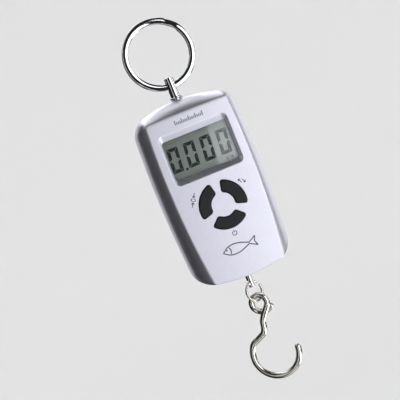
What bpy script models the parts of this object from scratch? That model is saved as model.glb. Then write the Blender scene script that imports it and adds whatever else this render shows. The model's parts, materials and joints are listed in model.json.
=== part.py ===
"""Pocket hanging scale: an electronic scale in a two-part case, hung from a split ring, with a wire hook.

Frame: metres, +Z up, +X to the right as seen from the front, front face towards -Y.
The origin is the inside top of the split ring, where the finger or peg that holds the scale bears.
The scale is drawn as it hangs: ring, post, case, draw bar, link and hook one below the other.
"""

import math

import bmesh
import bpy
from mathutils import Matrix, Vector

MM = 0.001
GAP = 0.3 * MM  # clearance between neighbouring pieces

# Split ring: flattened wire wound twice
RING_OUTER_RADIUS = 17.5 * MM
RING_BAND = 3.0 * MM
RING_TURN = 1.2 * MM
TURN_GAP = 0.06 * MM
RING_CENTRE_Z = RING_BAND - RING_OUTER_RADIUS
WIRE_START = math.radians(60)  # where a wire wound twice begins, from +X towards +Z
WIRE_STEP = math.radians(24)  # how far round it takes to step from one turn to the other
WIRE_END_GAP = 0.35 * MM

# Hanger post, through whose cross hole the split ring passes
POST_HOLE_Z = -30.4 * MM
POST_HOLE_RADIUS = 1.95 * MM
POST_RADIUS = 2.45 * MM
POST_TOP_Z = POST_HOLE_Z + 4.0 * MM
FLANGE_RADIUS = 3.1 * MM
FLANGE_THICKNESS = 0.8 * MM
SHANK_RADIUS = 2.2 * MM
STUD_RADIUS = 1.75 * MM

# Case: outline at the parting plane, at the front face and at the back face
CASE_TOP_Z = -37.2 * MM
CASE_HEIGHT = 89.4 * MM
CASE_BOTTOM_Z = CASE_TOP_Z - CASE_HEIGHT
CASE_DEPTH = 22.0 * MM
HALF_DEPTH = CASE_DEPTH / 2
WALL = 1.6 * MM
CREASE_Z = CASE_TOP_Z - 7.2 * MM
TOP_ARC_RADIUS = 66.0 * MM
BOTTOM_ARC_RADIUS = 83.0 * MM
ROLL_ANGLE = math.radians(60)  # how far the front's edge rolls over before it meets the face
BACK_FULLNESS = 3.0  # exponent of the rear half's edge, which is squarer than a circle's 2

# Display opening in the front face
DISPLAY_Z = -63.9 * MM
RECESS_HALF = (17.1 * MM, 12.3 * MM)
OPENING_HALF = (16.1 * MM, 9.6 * MM)
RECESS_LIFT = 0.2 * MM  # the recess sits this much higher than the opening in it

# Keys: three arcs round one centre
KEYS_Z = -91.2 * MM
KEY_OUTER_RADIUS = 11.3 * MM
KEY_INNER_RADIUS = 6.0 * MM
KEY_MEAN_RADIUS = (KEY_OUTER_RADIUS + KEY_INNER_RADIUS) / 2
KEY_HALF_SPAN = math.radians(45)
KEY_CORNER = 0.9 * MM
KEY_PROUD = 0.4 * MM
KEY_TRAVEL = 0.7 * MM
DOME_RADIUS = 2.4 * MM
MAT_RADIUS = 12.4 * MM
SKIRT_WIDTH = 0.9 * MM  # how far a key's skirt reaches past its opening, behind the face
SKIRT_DEPTH = 0.6 * MM
KEY_DIRECTIONS = {"key_unit": 30, "key_tare": 150, "key_power": 270}  # degrees from +X towards +Z

# Depths of the stack behind the front face
FRONT_INSIDE_Y = WALL - HALF_DEPTH
WINDOW_Y = (-9.1 * MM, -8.3 * MM)
GLASS_Y = (-8.0 * MM, -6.4 * MM)
BOARD_Y = (-4.8 * MM, -3.8 * MM)
BOARD_HALF_WIDTH = 19.0 * MM
BOARD_TOP_Z = -50.5 * MM
BOARD_BOTTOM_Z = -108.0 * MM
MAT_Y = (BOARD_Y[0] - GAP - 0.6 * MM, BOARD_Y[0] - GAP)
DOME_TOP_Y = FRONT_INSIDE_Y + GAP + SKIRT_DEPTH + KEY_TRAVEL + 0.4 * MM
SOLDER = 0.1 * MM  # gap under a piece soldered or glued in place
SOLDER_Y = BOARD_Y[1] + SOLDER

# Load cell
CELL_HALF_WIDTH = 6.0 * MM
CELL_HALF_DEPTH = 3.3 * MM
CELL_TOP_Z = -60.0 * MM
CELL_BOTTOM_Z = -94.0 * MM
STUD_HOLE_DEPTH = 5.4 * MM
STUD_SHOULDER = 3.6 * MM  # from the cell to where post and draw bar thicken
NUT_THICKNESS = 2.4 * MM
CLAMP_DROP = 1.6 * MM  # the clamping nut sits this far under the top wall
SLIT = 1.0 * MM
SLIT_Z = (CELL_BOTTOM_Z + 7.0 * MM, CELL_TOP_Z - 7.0 * MM)
CELL_BORE_RADIUS = 2.6 * MM
CELL_BORE_STEP = 4.5 * MM  # the two bores lie this far above and below the middle

# Battery compartment, for two AAA cells
BATTERY_RADIUS = 5.25 * MM
BATTERY_LENGTH = 44.5 * MM
BATTERY_X = 14.0 * MM
BATTERY_Y = 3.7 * MM
POCKET_HALF = 5.6 * MM
POCKET_FLOOR_Y = -1.85 * MM
POCKET_Z = (-119.4 * MM, -70.4 * MM)
CONTACT_THICKNESS = 0.4 * MM
CONTACT_HALF = 4.5 * MM
BRIDGE_Y = (2.8 * MM, 6.8 * MM)
NUB_RADIUS = 1.9 * MM
NUB_HEIGHT = 1.0 * MM
SPRING_WIRE = 0.25 * MM
SPRING_TURNS = 2
SPRING_RADII = (3.4 * MM, 2.2 * MM)
TRAY_WALL = 0.8 * MM
TRAY_FLOOR = 0.55 * MM
TRAY_BACK_Y = 6.0 * MM
WEB_Y = (3.0 * MM, 4.2 * MM)
WEB_TOP_Z = -98.0 * MM

# Battery door: slides down out of a dovetail slot in the back
DOOR_HALF_WIDTH = 18.9 * MM
DOOR_TOP_Z = -69.8 * MM
DOOR_INSIDE_Y = 9.7 * MM
DOVETAIL = 0.9 * MM  # how much wider the slot is at its floor
WELL_LEDGE = 1.6 * MM  # the shell that the door's top edge rests on
GRIP_GROOVES = 5
GRIP_TOP = 5.0 * MM
GRIP_PITCH = 1.6 * MM
GRIP_WIDTH = 0.8 * MM
GRIP_HALF = 6.5 * MM
GRIP_DEPTH = 0.45 * MM

# Screws
UPPER_SCREW = (17.0 * MM, -46.6 * MM)
LOWER_SCREW = (5.2 * MM, -113.0 * MM)
BOARD_SCREWS = {"upper": (16.6 * MM, -80.0 * MM), "lower": (10.5 * MM, -105.4 * MM)}
BOSS_RADIUS = 2.3 * MM
BOSS_ROOT = 0.5 * MM  # how far a boss starts inside the wall it stands on
SCREW_RADIUS = 1.0 * MM
SCREW_HEAD_RADIUS = 2.1 * MM
SCREW_HEAD_HEIGHT = 1.5 * MM
SCREW_TIP_Y = -6.0 * MM
BORE_FLOOR_Y = SCREW_TIP_Y - 1.5 * MM
UPPER_HEAD_Y = 10.1 * MM
BOARD_SCREW_RADIUS = 0.7 * MM
BOARD_SCREW_HEAD = 1.7 * MM
BOARD_SCREW_HEIGHT = 0.8 * MM
BOARD_SCREW_TIP_Y = -8.6 * MM

# Draw bar, link and hook, below the case
BAR_PIN_RADIUS = 1.6 * MM
BAR_END_Z = -133.2 * MM
LINK_HOLE_Z = -130.8 * MM
LINK_HOLE_RADIUS = 1.15 * MM
LINK_MEAN_RADIUS = 4.8 * MM
LINK_BAND = 1.0 * MM
LINK_TURN = 0.65 * MM
LINK_AZIMUTH = math.radians(31)
LINK_CENTRE_Z = LINK_HOLE_Z + 0.12 * MM - LINK_MEAN_RADIUS
HOOK_AZIMUTH = math.radians(-26)
HOOK_WIRE_RADIUS = 1.5 * MM
EYE_RADIUS = 3.75 * MM
EYE_DROP = 0.45 * MM  # the eye hangs clear of the link by this much, because both are rigid here
EYE_CENTRE_Z = LINK_CENTRE_Z - LINK_MEAN_RADIUS + LINK_BAND / 2 + EYE_DROP + HOOK_WIRE_RADIUS - EYE_RADIUS
BOWL_RADIUS = 11.3 * MM
EYE_ENDS = (math.radians(327), math.radians(-40))  # round the eye, from the wire's end to the shank
EYE_STEPS = 30
EYE_CROSSING = (math.radians(180), math.radians(275))  # where the end's strand moves behind the shank
EYE_BEHIND = 3.3 * MM  # how far behind the shank it then lies
EYE_FLARE = 1.3 * MM  # how far outside the eye's circle
SHANK_POINTS = (
    (0.1 * MM, -5.9 * MM),
    (-1.7 * MM, -8.9 * MM),
    (-2.4 * MM, -12.0 * MM),
    (-3.8 * MM, -14.5 * MM),
    (-6.7 * MM, -16.2 * MM),
)
BOWL_CENTRE = (-1.6 * MM, -25.2 * MM)  # x and z from the eye's centre
BOWL_ENDS = (math.radians(140), math.radians(358))
BOWL_LEAD = math.radians(15)  # the part of the bowl that the shank's curve runs into
TIP_ANGLES = (math.radians(35), math.radians(70))  # rings of the tip's dome

# Colour, metallic and roughness of each finish
FINISHES = {
    "silver_paint": ((0.72, 0.72, 0.78), 0.55, 0.38),
    "chrome": ((0.82, 0.82, 0.83), 1.0, 0.06),
    "nickel": ((0.74, 0.72, 0.68), 1.0, 0.14),
    "steel": ((0.55, 0.55, 0.56), 1.0, 0.32),
    "aluminium": ((0.66, 0.67, 0.68), 1.0, 0.35),
    "brass": ((0.72, 0.55, 0.24), 1.0, 0.30),
    "grey_rubber": ((0.028, 0.031, 0.034), 0.0, 0.62),
    "mat_rubber": ((0.42, 0.42, 0.43), 0.0, 0.70),
    "clear_plastic": ((0.86, 0.88, 0.88), 0.0, 0.04),
    "display_green": ((0.15, 0.19, 0.16), 0.0, 0.25),
    "white_plastic": ((0.80, 0.80, 0.78), 0.0, 0.45),
    "black_plastic": ((0.02, 0.02, 0.02), 0.0, 0.40),
    "board_green": ((0.03, 0.17, 0.07), 0.0, 0.45),
    "resin_black": ((0.01, 0.01, 0.01), 0.0, 0.20),
    "gauge_foil": ((0.62, 0.40, 0.14), 0.0, 0.35),
    "sleeve_red": ((0.55, 0.02, 0.02), 0.0, 0.45),
    "sleeve_black": ((0.015, 0.015, 0.015), 0.0, 0.45),
    "sleeve_grey": ((0.35, 0.35, 0.36), 0.0, 0.50),
    "cell_wrap": ((0.05, 0.09, 0.20), 0.2, 0.35),
}
SMOOTH_ANGLE = math.radians(35)


def clear_scene():
    for item in list(bpy.data.objects):
        bpy.data.objects.remove(item)
    for mesh in list(bpy.data.meshes):
        bpy.data.meshes.remove(mesh)


def material(name, finish):
    colour, metallic, roughness = FINISHES[finish]
    made = bpy.data.materials.new(name)
    made.use_nodes = True
    shader = made.node_tree.nodes["Principled BSDF"]
    shader.inputs["Base Color"].default_value = (*colour, 1.0)
    shader.inputs["Metallic"].default_value = metallic
    shader.inputs["Roughness"].default_value = roughness
    made.diffuse_color = (*colour, 1.0)
    return made


def pivot(name, position, parent=None):
    """An empty that the pieces turning about position are parented to."""
    empty = bpy.data.objects.new(name, None)
    empty.location = position
    if parent:
        empty.location = Vector(position) - parent.matrix_world.translation
        empty.parent = parent
    bpy.context.scene.collection.objects.link(empty)
    bpy.context.view_layer.update()
    return empty


def place(piece, parent, origin=None):
    """Parents a piece drawn in world coordinates, with its own origin at origin."""
    base = parent.matrix_world.translation
    origin = Vector(origin) if origin else base.copy()
    piece.data.transform(Matrix.Translation(-origin))
    piece.parent = parent
    piece.location = origin - base


# ---- outlines in the XZ plane -------------------------------------------------------------------


def bend(start, corner, end, steps):
    """Points of a round corner from start to end, which lie the same distance either side of corner."""
    weight = math.sqrt(0.5)
    points = []
    for i in range(steps + 1):
        t = i / steps
        shares = ((1 - t) ** 2, 2 * weight * t * (1 - t), t**2)
        total = sum(shares)
        points.append(
            tuple(
                (shares[0] * start[k] + shares[1] * corner[k] + shares[2] * end[k]) / total
                for k in (0, 1)
            )
        )
    return points


def rounded_rectangle(half_width, z_low, z_high, radius, steps=3):
    points = []
    for sx, z_end, dz, clockwise in (
        (1, z_high, -1, False),
        (-1, z_high, -1, True),
        (-1, z_low, 1, False),
        (1, z_low, 1, True),
    ):
        side = (sx * half_width, z_end + dz * radius)
        edge = (sx * (half_width - radius), z_end)
        start, end = (edge, side) if clockwise else (side, edge)
        points += bend(start, (sx * half_width, z_end), end, steps)
    return points


def on_circle(centre, radius, angle):
    """A point at an angle in radians from +X towards +Z."""
    return (centre[0] + radius * math.cos(angle), centre[1] + radius * math.sin(angle))


def arc(centre, radius, start, end, steps):
    return [on_circle(centre, radius, start + (end - start) * i / steps) for i in range(steps + 1)]


def key_outline(direction, grow=0.0):
    """One arc-shaped key or, grown all round, the opening it moves in."""
    outer = KEY_OUTER_RADIUS + grow
    inner = KEY_INNER_RADIUS - grow
    corner = KEY_CORNER + max(grow, 0.0)
    half = KEY_HALF_SPAN + grow / KEY_MEAN_RADIUS
    centre = (0.0, KEYS_Z)

    def at(radius, angle):
        return on_circle(centre, radius, direction + angle)

    outer_half = half - corner / outer
    inner_half = half - corner / inner
    points = arc(centre, outer, direction - outer_half, direction + outer_half, 12)
    points += bend(points[-1], at(outer, half), at(outer - corner, half), 3)[1:]
    points += bend(at(inner + corner, half), at(inner, half), at(inner, inner_half), 3)
    points += arc(centre, inner, direction + inner_half, direction - inner_half, 8)[1:]
    points += bend(points[-1], at(inner, -half), at(inner + corner, -half), 3)[1:]
    points += bend(at(outer - corner, -half), at(outer, -half), at(outer, -outer_half), 3)[:-1]
    return points


class Outline:
    """The case's outline at one depth: bowed sides, arched ends and round corners."""

    def __init__(self, top, bottom, halves, corners, top_bow, bottom_bow):
        self.top = top
        self.bottom = bottom
        self.halves = halves  # half widths at the top, the middle and the bottom
        self.corners = corners  # corner radii at the top and the bottom
        self.top_bow = top_bow  # the ends are arches: z falls or rises by bow * x^2
        self.bottom_bow = bottom_bow

    def inset(self, wall):
        return Outline(
            self.top - wall,
            self.bottom + wall,
            [half - wall for half in self.halves],
            [max(corner - wall, 0.4 * MM) for corner in self.corners],
            self.top_bow,
            self.bottom_bow,
        )

    def towards(self, other, share):
        def mix(a, b):
            return a + (b - a) * share

        return Outline(
            mix(self.top, other.top),
            mix(self.bottom, other.bottom),
            [mix(a, b) for a, b in zip(self.halves, other.halves)],
            [mix(a, b) for a, b in zip(self.corners, other.corners)],
            mix(self.top_bow, other.top_bow),
            mix(self.bottom_bow, other.bottom_bow),
        )

    def half_width(self, z):
        u = (self.top - z) / (self.top - self.bottom)
        top, middle, bottom = self.halves
        return (1 - u) * (1 - 2 * u) * top + 4 * u * (1 - u) * middle + u * (2 * u - 1) * bottom

    def end_z(self, x, at_top):
        if at_top:
            return self.top - self.top_bow * x * x
        return self.bottom + self.bottom_bow * x * x

    def points(self, along_end=8, along_side=10, round_corner=5):
        """The right half from top to bottom, then its mirror image on the left."""
        corners = []
        for at_top in (True, False):
            x = self.halves[0 if at_top else 2]
            for _ in range(4):
                z = self.end_z(x, at_top)
                x = self.half_width(z)
            corners.append((x, z))
        (top_x, top_z), (bottom_x, bottom_z) = corners
        top_r, bottom_r = self.corners
        right = []
        for i in range(along_end // 2):
            x = (top_x - top_r) * i / (along_end // 2)
            right.append((x, self.end_z(x, True)))
        start = (top_x - top_r, self.end_z(top_x - top_r, True))
        end = (self.half_width(top_z - top_r), top_z - top_r)
        right += bend(start, (top_x, top_z), end, round_corner)
        low = bottom_z + bottom_r
        for i in range(1, along_side):
            z = end[1] + (low - end[1]) * i / along_side
            right.append((self.half_width(z), z))
        start = (self.half_width(low), low)
        end = (bottom_x - bottom_r, self.end_z(bottom_x - bottom_r, False))
        right += bend(start, (bottom_x, bottom_z), end, round_corner)
        for i in range(1, along_end // 2 + 1):
            x = end[0] * (1 - i / (along_end // 2))
            right.append((x, self.end_z(x, False)))
        return right + [(-x, z) for x, z in reversed(right[1:-1])]


PARTING = Outline(
    CASE_TOP_Z,
    CASE_BOTTOM_Z,
    [24.7 * MM, 26.0 * MM, 23.6 * MM],
    [6.5 * MM, 6.5 * MM],
    1 / (2 * TOP_ARC_RADIUS),
    1 / (2 * BOTTOM_ARC_RADIUS),
)
FRONT = Outline(
    CREASE_Z,
    CASE_BOTTOM_Z + 0.4 * MM,
    [20.2 * MM, 20.9 * MM, 17.3 * MM],
    [0.8 * MM, 0.8 * MM],
    0.0,
    1 / (2 * BOTTOM_ARC_RADIUS),
)
BACK = Outline(
    CASE_TOP_Z - 3.0 * MM,
    CASE_BOTTOM_Z + 2.2 * MM,
    [21.9 * MM, 23.2 * MM, 20.8 * MM],
    [4.5 * MM, 4.5 * MM],
    1 / (2 * TOP_ARC_RADIUS),
    1 / (2 * BOTTOM_ARC_RADIUS),
)


# ---- mesh makers --------------------------------------------------------------------------------


def finish_object(name, bm, finish):
    """Closes the bmesh as one named object, faces out, smooth where it is round."""
    bmesh.ops.recalc_face_normals(bm, faces=bm.faces)
    mesh = bpy.data.meshes.new(name)
    bm.to_mesh(mesh)
    bm.free()
    mesh.shade_smooth()
    mesh.set_sharp_from_angle(angle=SMOOTH_ANGLE)
    piece = bpy.data.objects.new(name, mesh)
    bpy.context.scene.collection.objects.link(piece)
    if finish:
        mesh.materials.append(material(name, finish))
    return piece


def loft(name, rings, finish=None):
    """A closed body through rings of points that have the same count, with flat ends."""
    bm = bmesh.new()
    rows = [[bm.verts.new(point) for point in ring] for ring in rings]
    count = len(rows[0])
    for low, high in zip(rows, rows[1:]):
        for i in range(count):
            j = (i + 1) % count
            bm.faces.new((low[i], low[j], high[j], high[i]))
    bm.faces.new(rows[0])
    bm.faces.new(rows[-1])
    return finish_object(name, bm, finish)


def at_depth(outline, y):
    return [Vector((x, y, z)) for x, z in outline]


def prism(name, outline, y_from, y_to, finish=None):
    return loft(name, [at_depth(outline, y_from), at_depth(outline, y_to)], finish)


def box(name, x, y, z, finish=None):
    """A box between pairs of limits."""
    corners = [(x[0], z[0]), (x[1], z[0]), (x[1], z[1]), (x[0], z[1])]
    return prism(name, corners, y[0], y[1], finish)


def turned(name, profile, centre=(0.0, 0.0, 0.0), axis="Z", finish=None, sides=24):
    """A body turned from (radius, distance along the axis) pairs, from one end to the other."""
    rings = []
    for radius, along in profile:
        ring = []
        for i in range(sides):
            a = math.tau * i / sides
            across = (radius * math.cos(a), radius * math.sin(a))
            offset = {
                "X": (along, across[0], across[1]),
                "Y": (across[1], along, across[0]),
                "Z": (across[0], across[1], along),
            }[axis]
            ring.append(Vector(centre) + Vector(offset))
        rings.append(ring)
    return loft(name, rings, finish)


def rod(name, radius, span, centre=(0.0, 0.0, 0.0), axis="Z", finish=None, sides=24):
    return turned(name, [(radius, span[0]), (radius, span[1])], centre, axis, finish, sides)


def sweep(name, stations, section, finish=None, scales=None):
    """Carries a section, in (side, up) pairs, along stations of (centre, side, up) vectors."""
    scales = scales or [1.0] * len(stations)
    rings = []
    for (centre, side, up), scale in zip(stations, scales):
        rings.append([centre + side * (u * scale) + up * (v * scale) for u, v in section])
    return loft(name, rings, finish)


def round_section(radius, sides):
    return [
        (radius * math.cos(math.tau * i / sides), radius * math.sin(math.tau * i / sides))
        for i in range(sides)
    ]


def flat_section(width, height, chamfer):
    """A flattened wire: a rectangle with its four corners taken off."""
    w, h = width / 2, height / 2
    return [
        (w, h - chamfer),
        (w - chamfer, h),
        (chamfer - w, h),
        (-w, h - chamfer),
        (-w, chamfer - h),
        (chamfer - w, -h),
        (w - chamfer, -h),
        (w, chamfer - h),
    ]


def tube(name, points, radius, finish, sides=8):
    """A round wire through points in space, its section turned as little as possible."""
    points = [Vector(point) for point in points]
    stations = []
    side = None
    for i, point in enumerate(points):
        ahead = (points[min(i + 1, len(points) - 1)] - points[max(i - 1, 0)]).normalized()
        if side is None:
            side = ahead.orthogonal().normalized()
        side = (side - ahead * side.dot(ahead)).normalized()
        stations.append((point, side, ahead.cross(side)))
    return sweep(name, stations, round_section(radius, sides), finish)


def through(points, steps=4):
    """A smooth curve through points, by Catmull-Rom."""
    points = [Vector(point) for point in points]
    padded = [points[0] * 2 - points[1], *points, points[-1] * 2 - points[-2]]
    curve = [points[0]]
    for a, b, c, d in zip(padded, padded[1:], padded[2:], padded[3:]):
        for i in range(1, steps + 1):
            t = i / steps
            linear = (c - a) * t
            square = (a * 2 - b * 5 + c * 4 - d) * t**2
            cube = (b * 3 - a - c * 3 + d) * t**3
            curve.append((b * 2 + linear + square + cube) / 2)
    return curve


def combine(target, tool, operation):
    """Cuts the tool out of the target, or joins it on, and removes the tool."""
    modifier = target.modifiers.new("Combine", "BOOLEAN")
    modifier.operation = operation
    modifier.solver = "EXACT"
    modifier.object = tool
    bpy.context.view_layer.update()
    graph = bpy.context.evaluated_depsgraph_get()
    result = bpy.data.meshes.new_from_object(target.evaluated_get(graph))
    old = target.data
    target.modifiers.clear()
    target.data = result
    bpy.data.meshes.remove(old)
    bpy.data.objects.remove(tool)
    result.shade_smooth()
    result.set_sharp_from_angle(angle=SMOOTH_ANGLE)


def cut(target, *tools):
    for tool in tools:
        combine(target, tool, "DIFFERENCE")


def join(target, *tools):
    for tool in tools:
        combine(target, tool, "UNION")


# ---- split ring and link ------------------------------------------------------------------------


def double_turn(name, mean_radius, band, turn, azimuth, centre, finish, steps):
    """Flattened wire wound twice in one plane, stepping from one layer to the other in between."""
    end_gap = WIRE_END_GAP / mean_radius
    total = 2 * math.tau - WIRE_STEP - 2 * end_gap
    layer = (turn + TURN_GAP) / 2
    along = Vector((math.cos(azimuth), math.sin(azimuth), 0))
    normal = Vector((-math.sin(azimuth), math.cos(azimuth), 0))
    stations = []
    for i in range(steps + 1):
        turned_by = total * i / steps
        share = min(max((turned_by - math.tau + WIRE_STEP + end_gap) / WIRE_STEP, 0.0), 1.0)
        depth = layer * (2 * share * share * (3 - 2 * share) - 1)
        a = WIRE_START + turned_by
        radial = along * math.cos(a) + Vector((0, 0, math.sin(a)))
        stations.append((Vector(centre) + radial * mean_radius + normal * depth, radial, normal))
    return sweep(name, stations, flat_section(band, turn, 0.28 * turn), finish)


def make_split_ring(parent):
    mean_radius = RING_OUTER_RADIUS - RING_BAND / 2
    ring = double_turn(
        "split_ring", mean_radius, RING_BAND, RING_TURN, 0.0, (0, 0, RING_CENTRE_Z), "chrome", 80
    )
    place(ring, parent)


def make_link(parent):
    link = double_turn(
        "link_ring",
        LINK_MEAN_RADIUS,
        LINK_BAND,
        LINK_TURN,
        LINK_AZIMUTH,
        (0, 0, LINK_CENTRE_Z),
        "nickel",
        52,
    )
    place(link, parent)


# ---- hook ---------------------------------------------------------------------------------------


def eye_point(angle):
    """A point of the eye's wire: across, up and behind, from the eye's centre."""
    start, end = EYE_CROSSING
    share = min(max((angle - start) / (end - start), 0.0), 1.0)
    share *= share * (3 - 2 * share)
    across, up = on_circle((0.0, 0.0), EYE_RADIUS + EYE_FLARE * share, angle)
    return Vector((across, up, EYE_BEHIND * share))


def hook_path(steps=3):
    """The wire's centre line, from the end curled into the eye to the open tip."""
    turn = (EYE_ENDS[1] - EYE_ENDS[0]) / EYE_STEPS
    eye = [eye_point(EYE_ENDS[0] + turn * i) for i in range(EYE_STEPS + 1)]
    joint = BOWL_ENDS[0] + BOWL_LEAD
    bowl = arc(BOWL_CENTRE, BOWL_RADIUS, joint, BOWL_ENDS[1], 21)
    lead = [on_circle(BOWL_CENTRE, BOWL_RADIUS, joint + BOWL_LEAD * i) for i in (-1, 0, 1)]
    shank = through([*(point.xy for point in eye[-2:]), *SHANK_POINTS, *lead], steps)
    flat = [*shank[steps + 1 : -steps], *bowl[1:]]
    return eye + [Vector((*point, 0.0)) for point in flat]


def make_hook(parent):
    across = Vector((math.cos(HOOK_AZIMUTH), math.sin(HOOK_AZIMUTH), 0))
    behind = Vector((-math.sin(HOOK_AZIMUTH), math.cos(HOOK_AZIMUTH), 0))
    centre = Vector((0, 0, EYE_CENTRE_Z))
    path = [centre + across * x + Vector((0, 0, z)) + behind * y for x, z, y in hook_path()]
    stations = []
    for before, point, after in zip([path[0], *path], path, [*path[1:], path[-1]]):
        ahead = (after - before).normalized()
        side = ahead.cross(behind).normalized()
        stations.append((point, side, side.cross(ahead)))
    scales = [1.0] * len(stations)
    tip, side, up = stations[-1]
    for angle in TIP_ANGLES:
        stations.append((tip + ahead * HOOK_WIRE_RADIUS * math.sin(angle), side, up))
        scales.append(math.cos(angle))
    hook = sweep("hook", stations, round_section(HOOK_WIRE_RADIUS, 10), "nickel", scales)
    place(hook, parent)


# ---- case ---------------------------------------------------------------------------------------


def front_edge(t):
    """How far in and how far forward the front's edge is at t of its way, as shares of the whole."""
    roll = ROLL_ANGLE * t
    return (1 - math.cos(roll)) / (1 - math.cos(ROLL_ANGLE)), math.sin(roll) / math.sin(ROLL_ANGLE)


def back_edge(t):
    """The same for the rear half, whose fuller edge runs smoothly into the flat back."""
    quarter = t * math.tau / 4
    power = 2 / BACK_FULLNESS
    return 1 - math.cos(quarter) ** power, math.sin(quarter) ** power


def half_layers(face, direction, wall, nearest, steps=6):
    """Rings of one half of the case from the parting plane to its face, a wall's thickness inside."""
    edge = front_edge if face is FRONT else back_edge
    depth = HALF_DEPTH - wall
    layers = []
    for i in range(steps + 1):
        share, forward = edge(i / steps)
        y = max(depth * forward, nearest)
        outline = PARTING.towards(face, share).inset(wall) if wall else PARTING.towards(face, share)
        layers.append(at_depth(outline.points(), direction * y))
    return layers


def half_shell(name, face, direction):
    """One half of the case, open at the parting plane."""
    inside = half_layers(face, direction, WALL, GAP / 2)
    outside = half_layers(face, direction, 0.0, GAP / 2)
    return loft(name, [*reversed(inside), *outside], "silver_paint")


def display_cutter():
    """The sloped recess round the display and the opening at its bottom."""
    middle = DISPLAY_Z + RECESS_LIFT
    recess = rounded_rectangle(RECESS_HALF[0], middle - RECESS_HALF[1], middle + RECESS_HALF[1], 2.6 * MM)
    opening = rounded_rectangle(
        OPENING_HALF[0], DISPLAY_Z - OPENING_HALF[1], DISPLAY_Z + OPENING_HALF[1], 1.3 * MM
    )
    floor = FRONT_INSIDE_Y - 0.25 * MM
    rings = [
        at_depth(recess, -HALF_DEPTH - 1.0 * MM),
        at_depth(recess, -HALF_DEPTH),
        at_depth(opening, floor),
        at_depth(opening, FRONT_INSIDE_Y + 1.0 * MM),
    ]
    return loft("display_cutter", rings)


def boss(x, z, radius, y_from, y_to):
    return rod("boss", radius, (y_from, y_to), (x, 0, z), "Y", "silver_paint", 14)


def bore(x, z, radius, y_from, y_to):
    return rod("bore", radius, (y_from, y_to), (x, 0, z), "Y", None, 14)


def end_holes():
    """Clearance for the post at the top of the case and for the draw bar at the bottom."""
    top = (CASE_TOP_Z - 6 * MM, CASE_TOP_Z + 2 * MM)
    bottom = (CASE_BOTTOM_Z - 2 * MM, CASE_BOTTOM_Z + 3 * MM)
    return [rod("post_hole", SHANK_RADIUS + GAP, top), rod("bar_hole", BAR_PIN_RADIUS + GAP, bottom)]


def make_front_shell(parent):
    shell = half_shell("front_shell", FRONT, -1)
    root = FRONT_INSIDE_Y - BOSS_ROOT
    web_y = WEB_Y[0] - GAP
    screw_bore = SCREW_RADIUS + GAP
    for sign in (-1, 1):
        x, z = sign * UPPER_SCREW[0], UPPER_SCREW[1]
        join(shell, boss(x, z, BOSS_RADIUS, root, -GAP))
        cut(shell, bore(x, z, screw_bore, BORE_FLOOR_Y, GAP))
        x, z = sign * LOWER_SCREW[0], LOWER_SCREW[1]
        join(shell, boss(x, z, BOSS_RADIUS - GAP, root, web_y))
        cut(shell, bore(x, z, screw_bore, BORE_FLOOR_Y, WEB_Y[0]))
        for x, z in BOARD_SCREWS.values():
            join(shell, boss(sign * x, z, BOARD_SCREW_HEAD, root, BOARD_Y[0] - GAP))
            cut(shell, bore(sign * x, z, BOARD_SCREW_RADIUS + GAP, root, BOARD_Y[0]))
    cut(shell, display_cutter(), *end_holes())
    for direction in KEY_DIRECTIONS.values():
        outline = key_outline(math.radians(direction), GAP)
        cut(shell, prism("key_opening", outline, -HALF_DEPTH - 1 * MM, FRONT_INSIDE_Y + 1 * MM))
    place(shell, parent)


def door_slot(grow):
    """The dovetail prism of the battery door or, grown, the slot it slides in; open at the bottom."""
    outer = DOOR_HALF_WIDTH + grow
    inner = outer + DOVETAIL
    floor = DOOR_INSIDE_Y - grow
    back = HALF_DEPTH + 1 * MM
    slope = DOVETAIL / (HALF_DEPTH - DOOR_INSIDE_Y)
    past = outer - slope * (back - HALF_DEPTH)
    section = [(-inner, floor), (inner, floor), (past, back), (-past, back)]
    rings = []
    for z in (CASE_BOTTOM_Z - 3 * MM, DOOR_TOP_Z + grow):
        rings.append([Vector((x, y, z)) for x, y in section])
    return loft("door_slot", rings)


def make_rear_shell(parent):
    """The back half, with two screw wells, the door's slot and the opening to the batteries."""
    shell = half_shell("rear_shell", BACK, 1)
    root = HALF_DEPTH - WALL + BOSS_ROOT
    past = HALF_DEPTH + 1 * MM
    for sign in (-1, 1):
        x, z = sign * UPPER_SCREW[0], UPPER_SCREW[1]
        join(shell, boss(x, z, SCREW_HEAD_RADIUS + GAP + 0.8 * MM, GAP, root))
        cut(shell, bore(x, z, SCREW_RADIUS + GAP, -1 * MM, past))
        cut(shell, bore(x, z, SCREW_HEAD_RADIUS + GAP, UPPER_HEAD_Y - SCREW_HEAD_HEIGHT - GAP, past))
    cut(shell, door_slot(GAP), *end_holes())
    well_z = (POCKET_Z[0] - TRAY_WALL, DOOR_TOP_Z - WELL_LEDGE)
    cut(shell, box("well", (-DOOR_HALF_WIDTH, DOOR_HALF_WIDTH), (TRAY_BACK_Y + GAP, past), well_z))
    place(shell, parent)


def make_battery_door(parent):
    """The piece of the case's back that fills the slot, with grip grooves for a thumb."""
    door = loft("battery_door", half_layers(BACK, 1, 0.0, GAP / 2), "silver_paint")
    combine(door, door_slot(0.0), "INTERSECT")
    for i in range(GRIP_GROOVES):
        z = DOOR_TOP_Z - GRIP_TOP - GRIP_PITCH * i
        outline = rounded_rectangle(GRIP_HALF, z - GRIP_WIDTH / 2, z + GRIP_WIDTH / 2, 0.35 * MM, 2)
        cut(door, prism("groove", outline, HALF_DEPTH - GRIP_DEPTH, HALF_DEPTH + 1 * MM))
    place(door, parent)


# ---- display and keys ---------------------------------------------------------------------------


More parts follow.
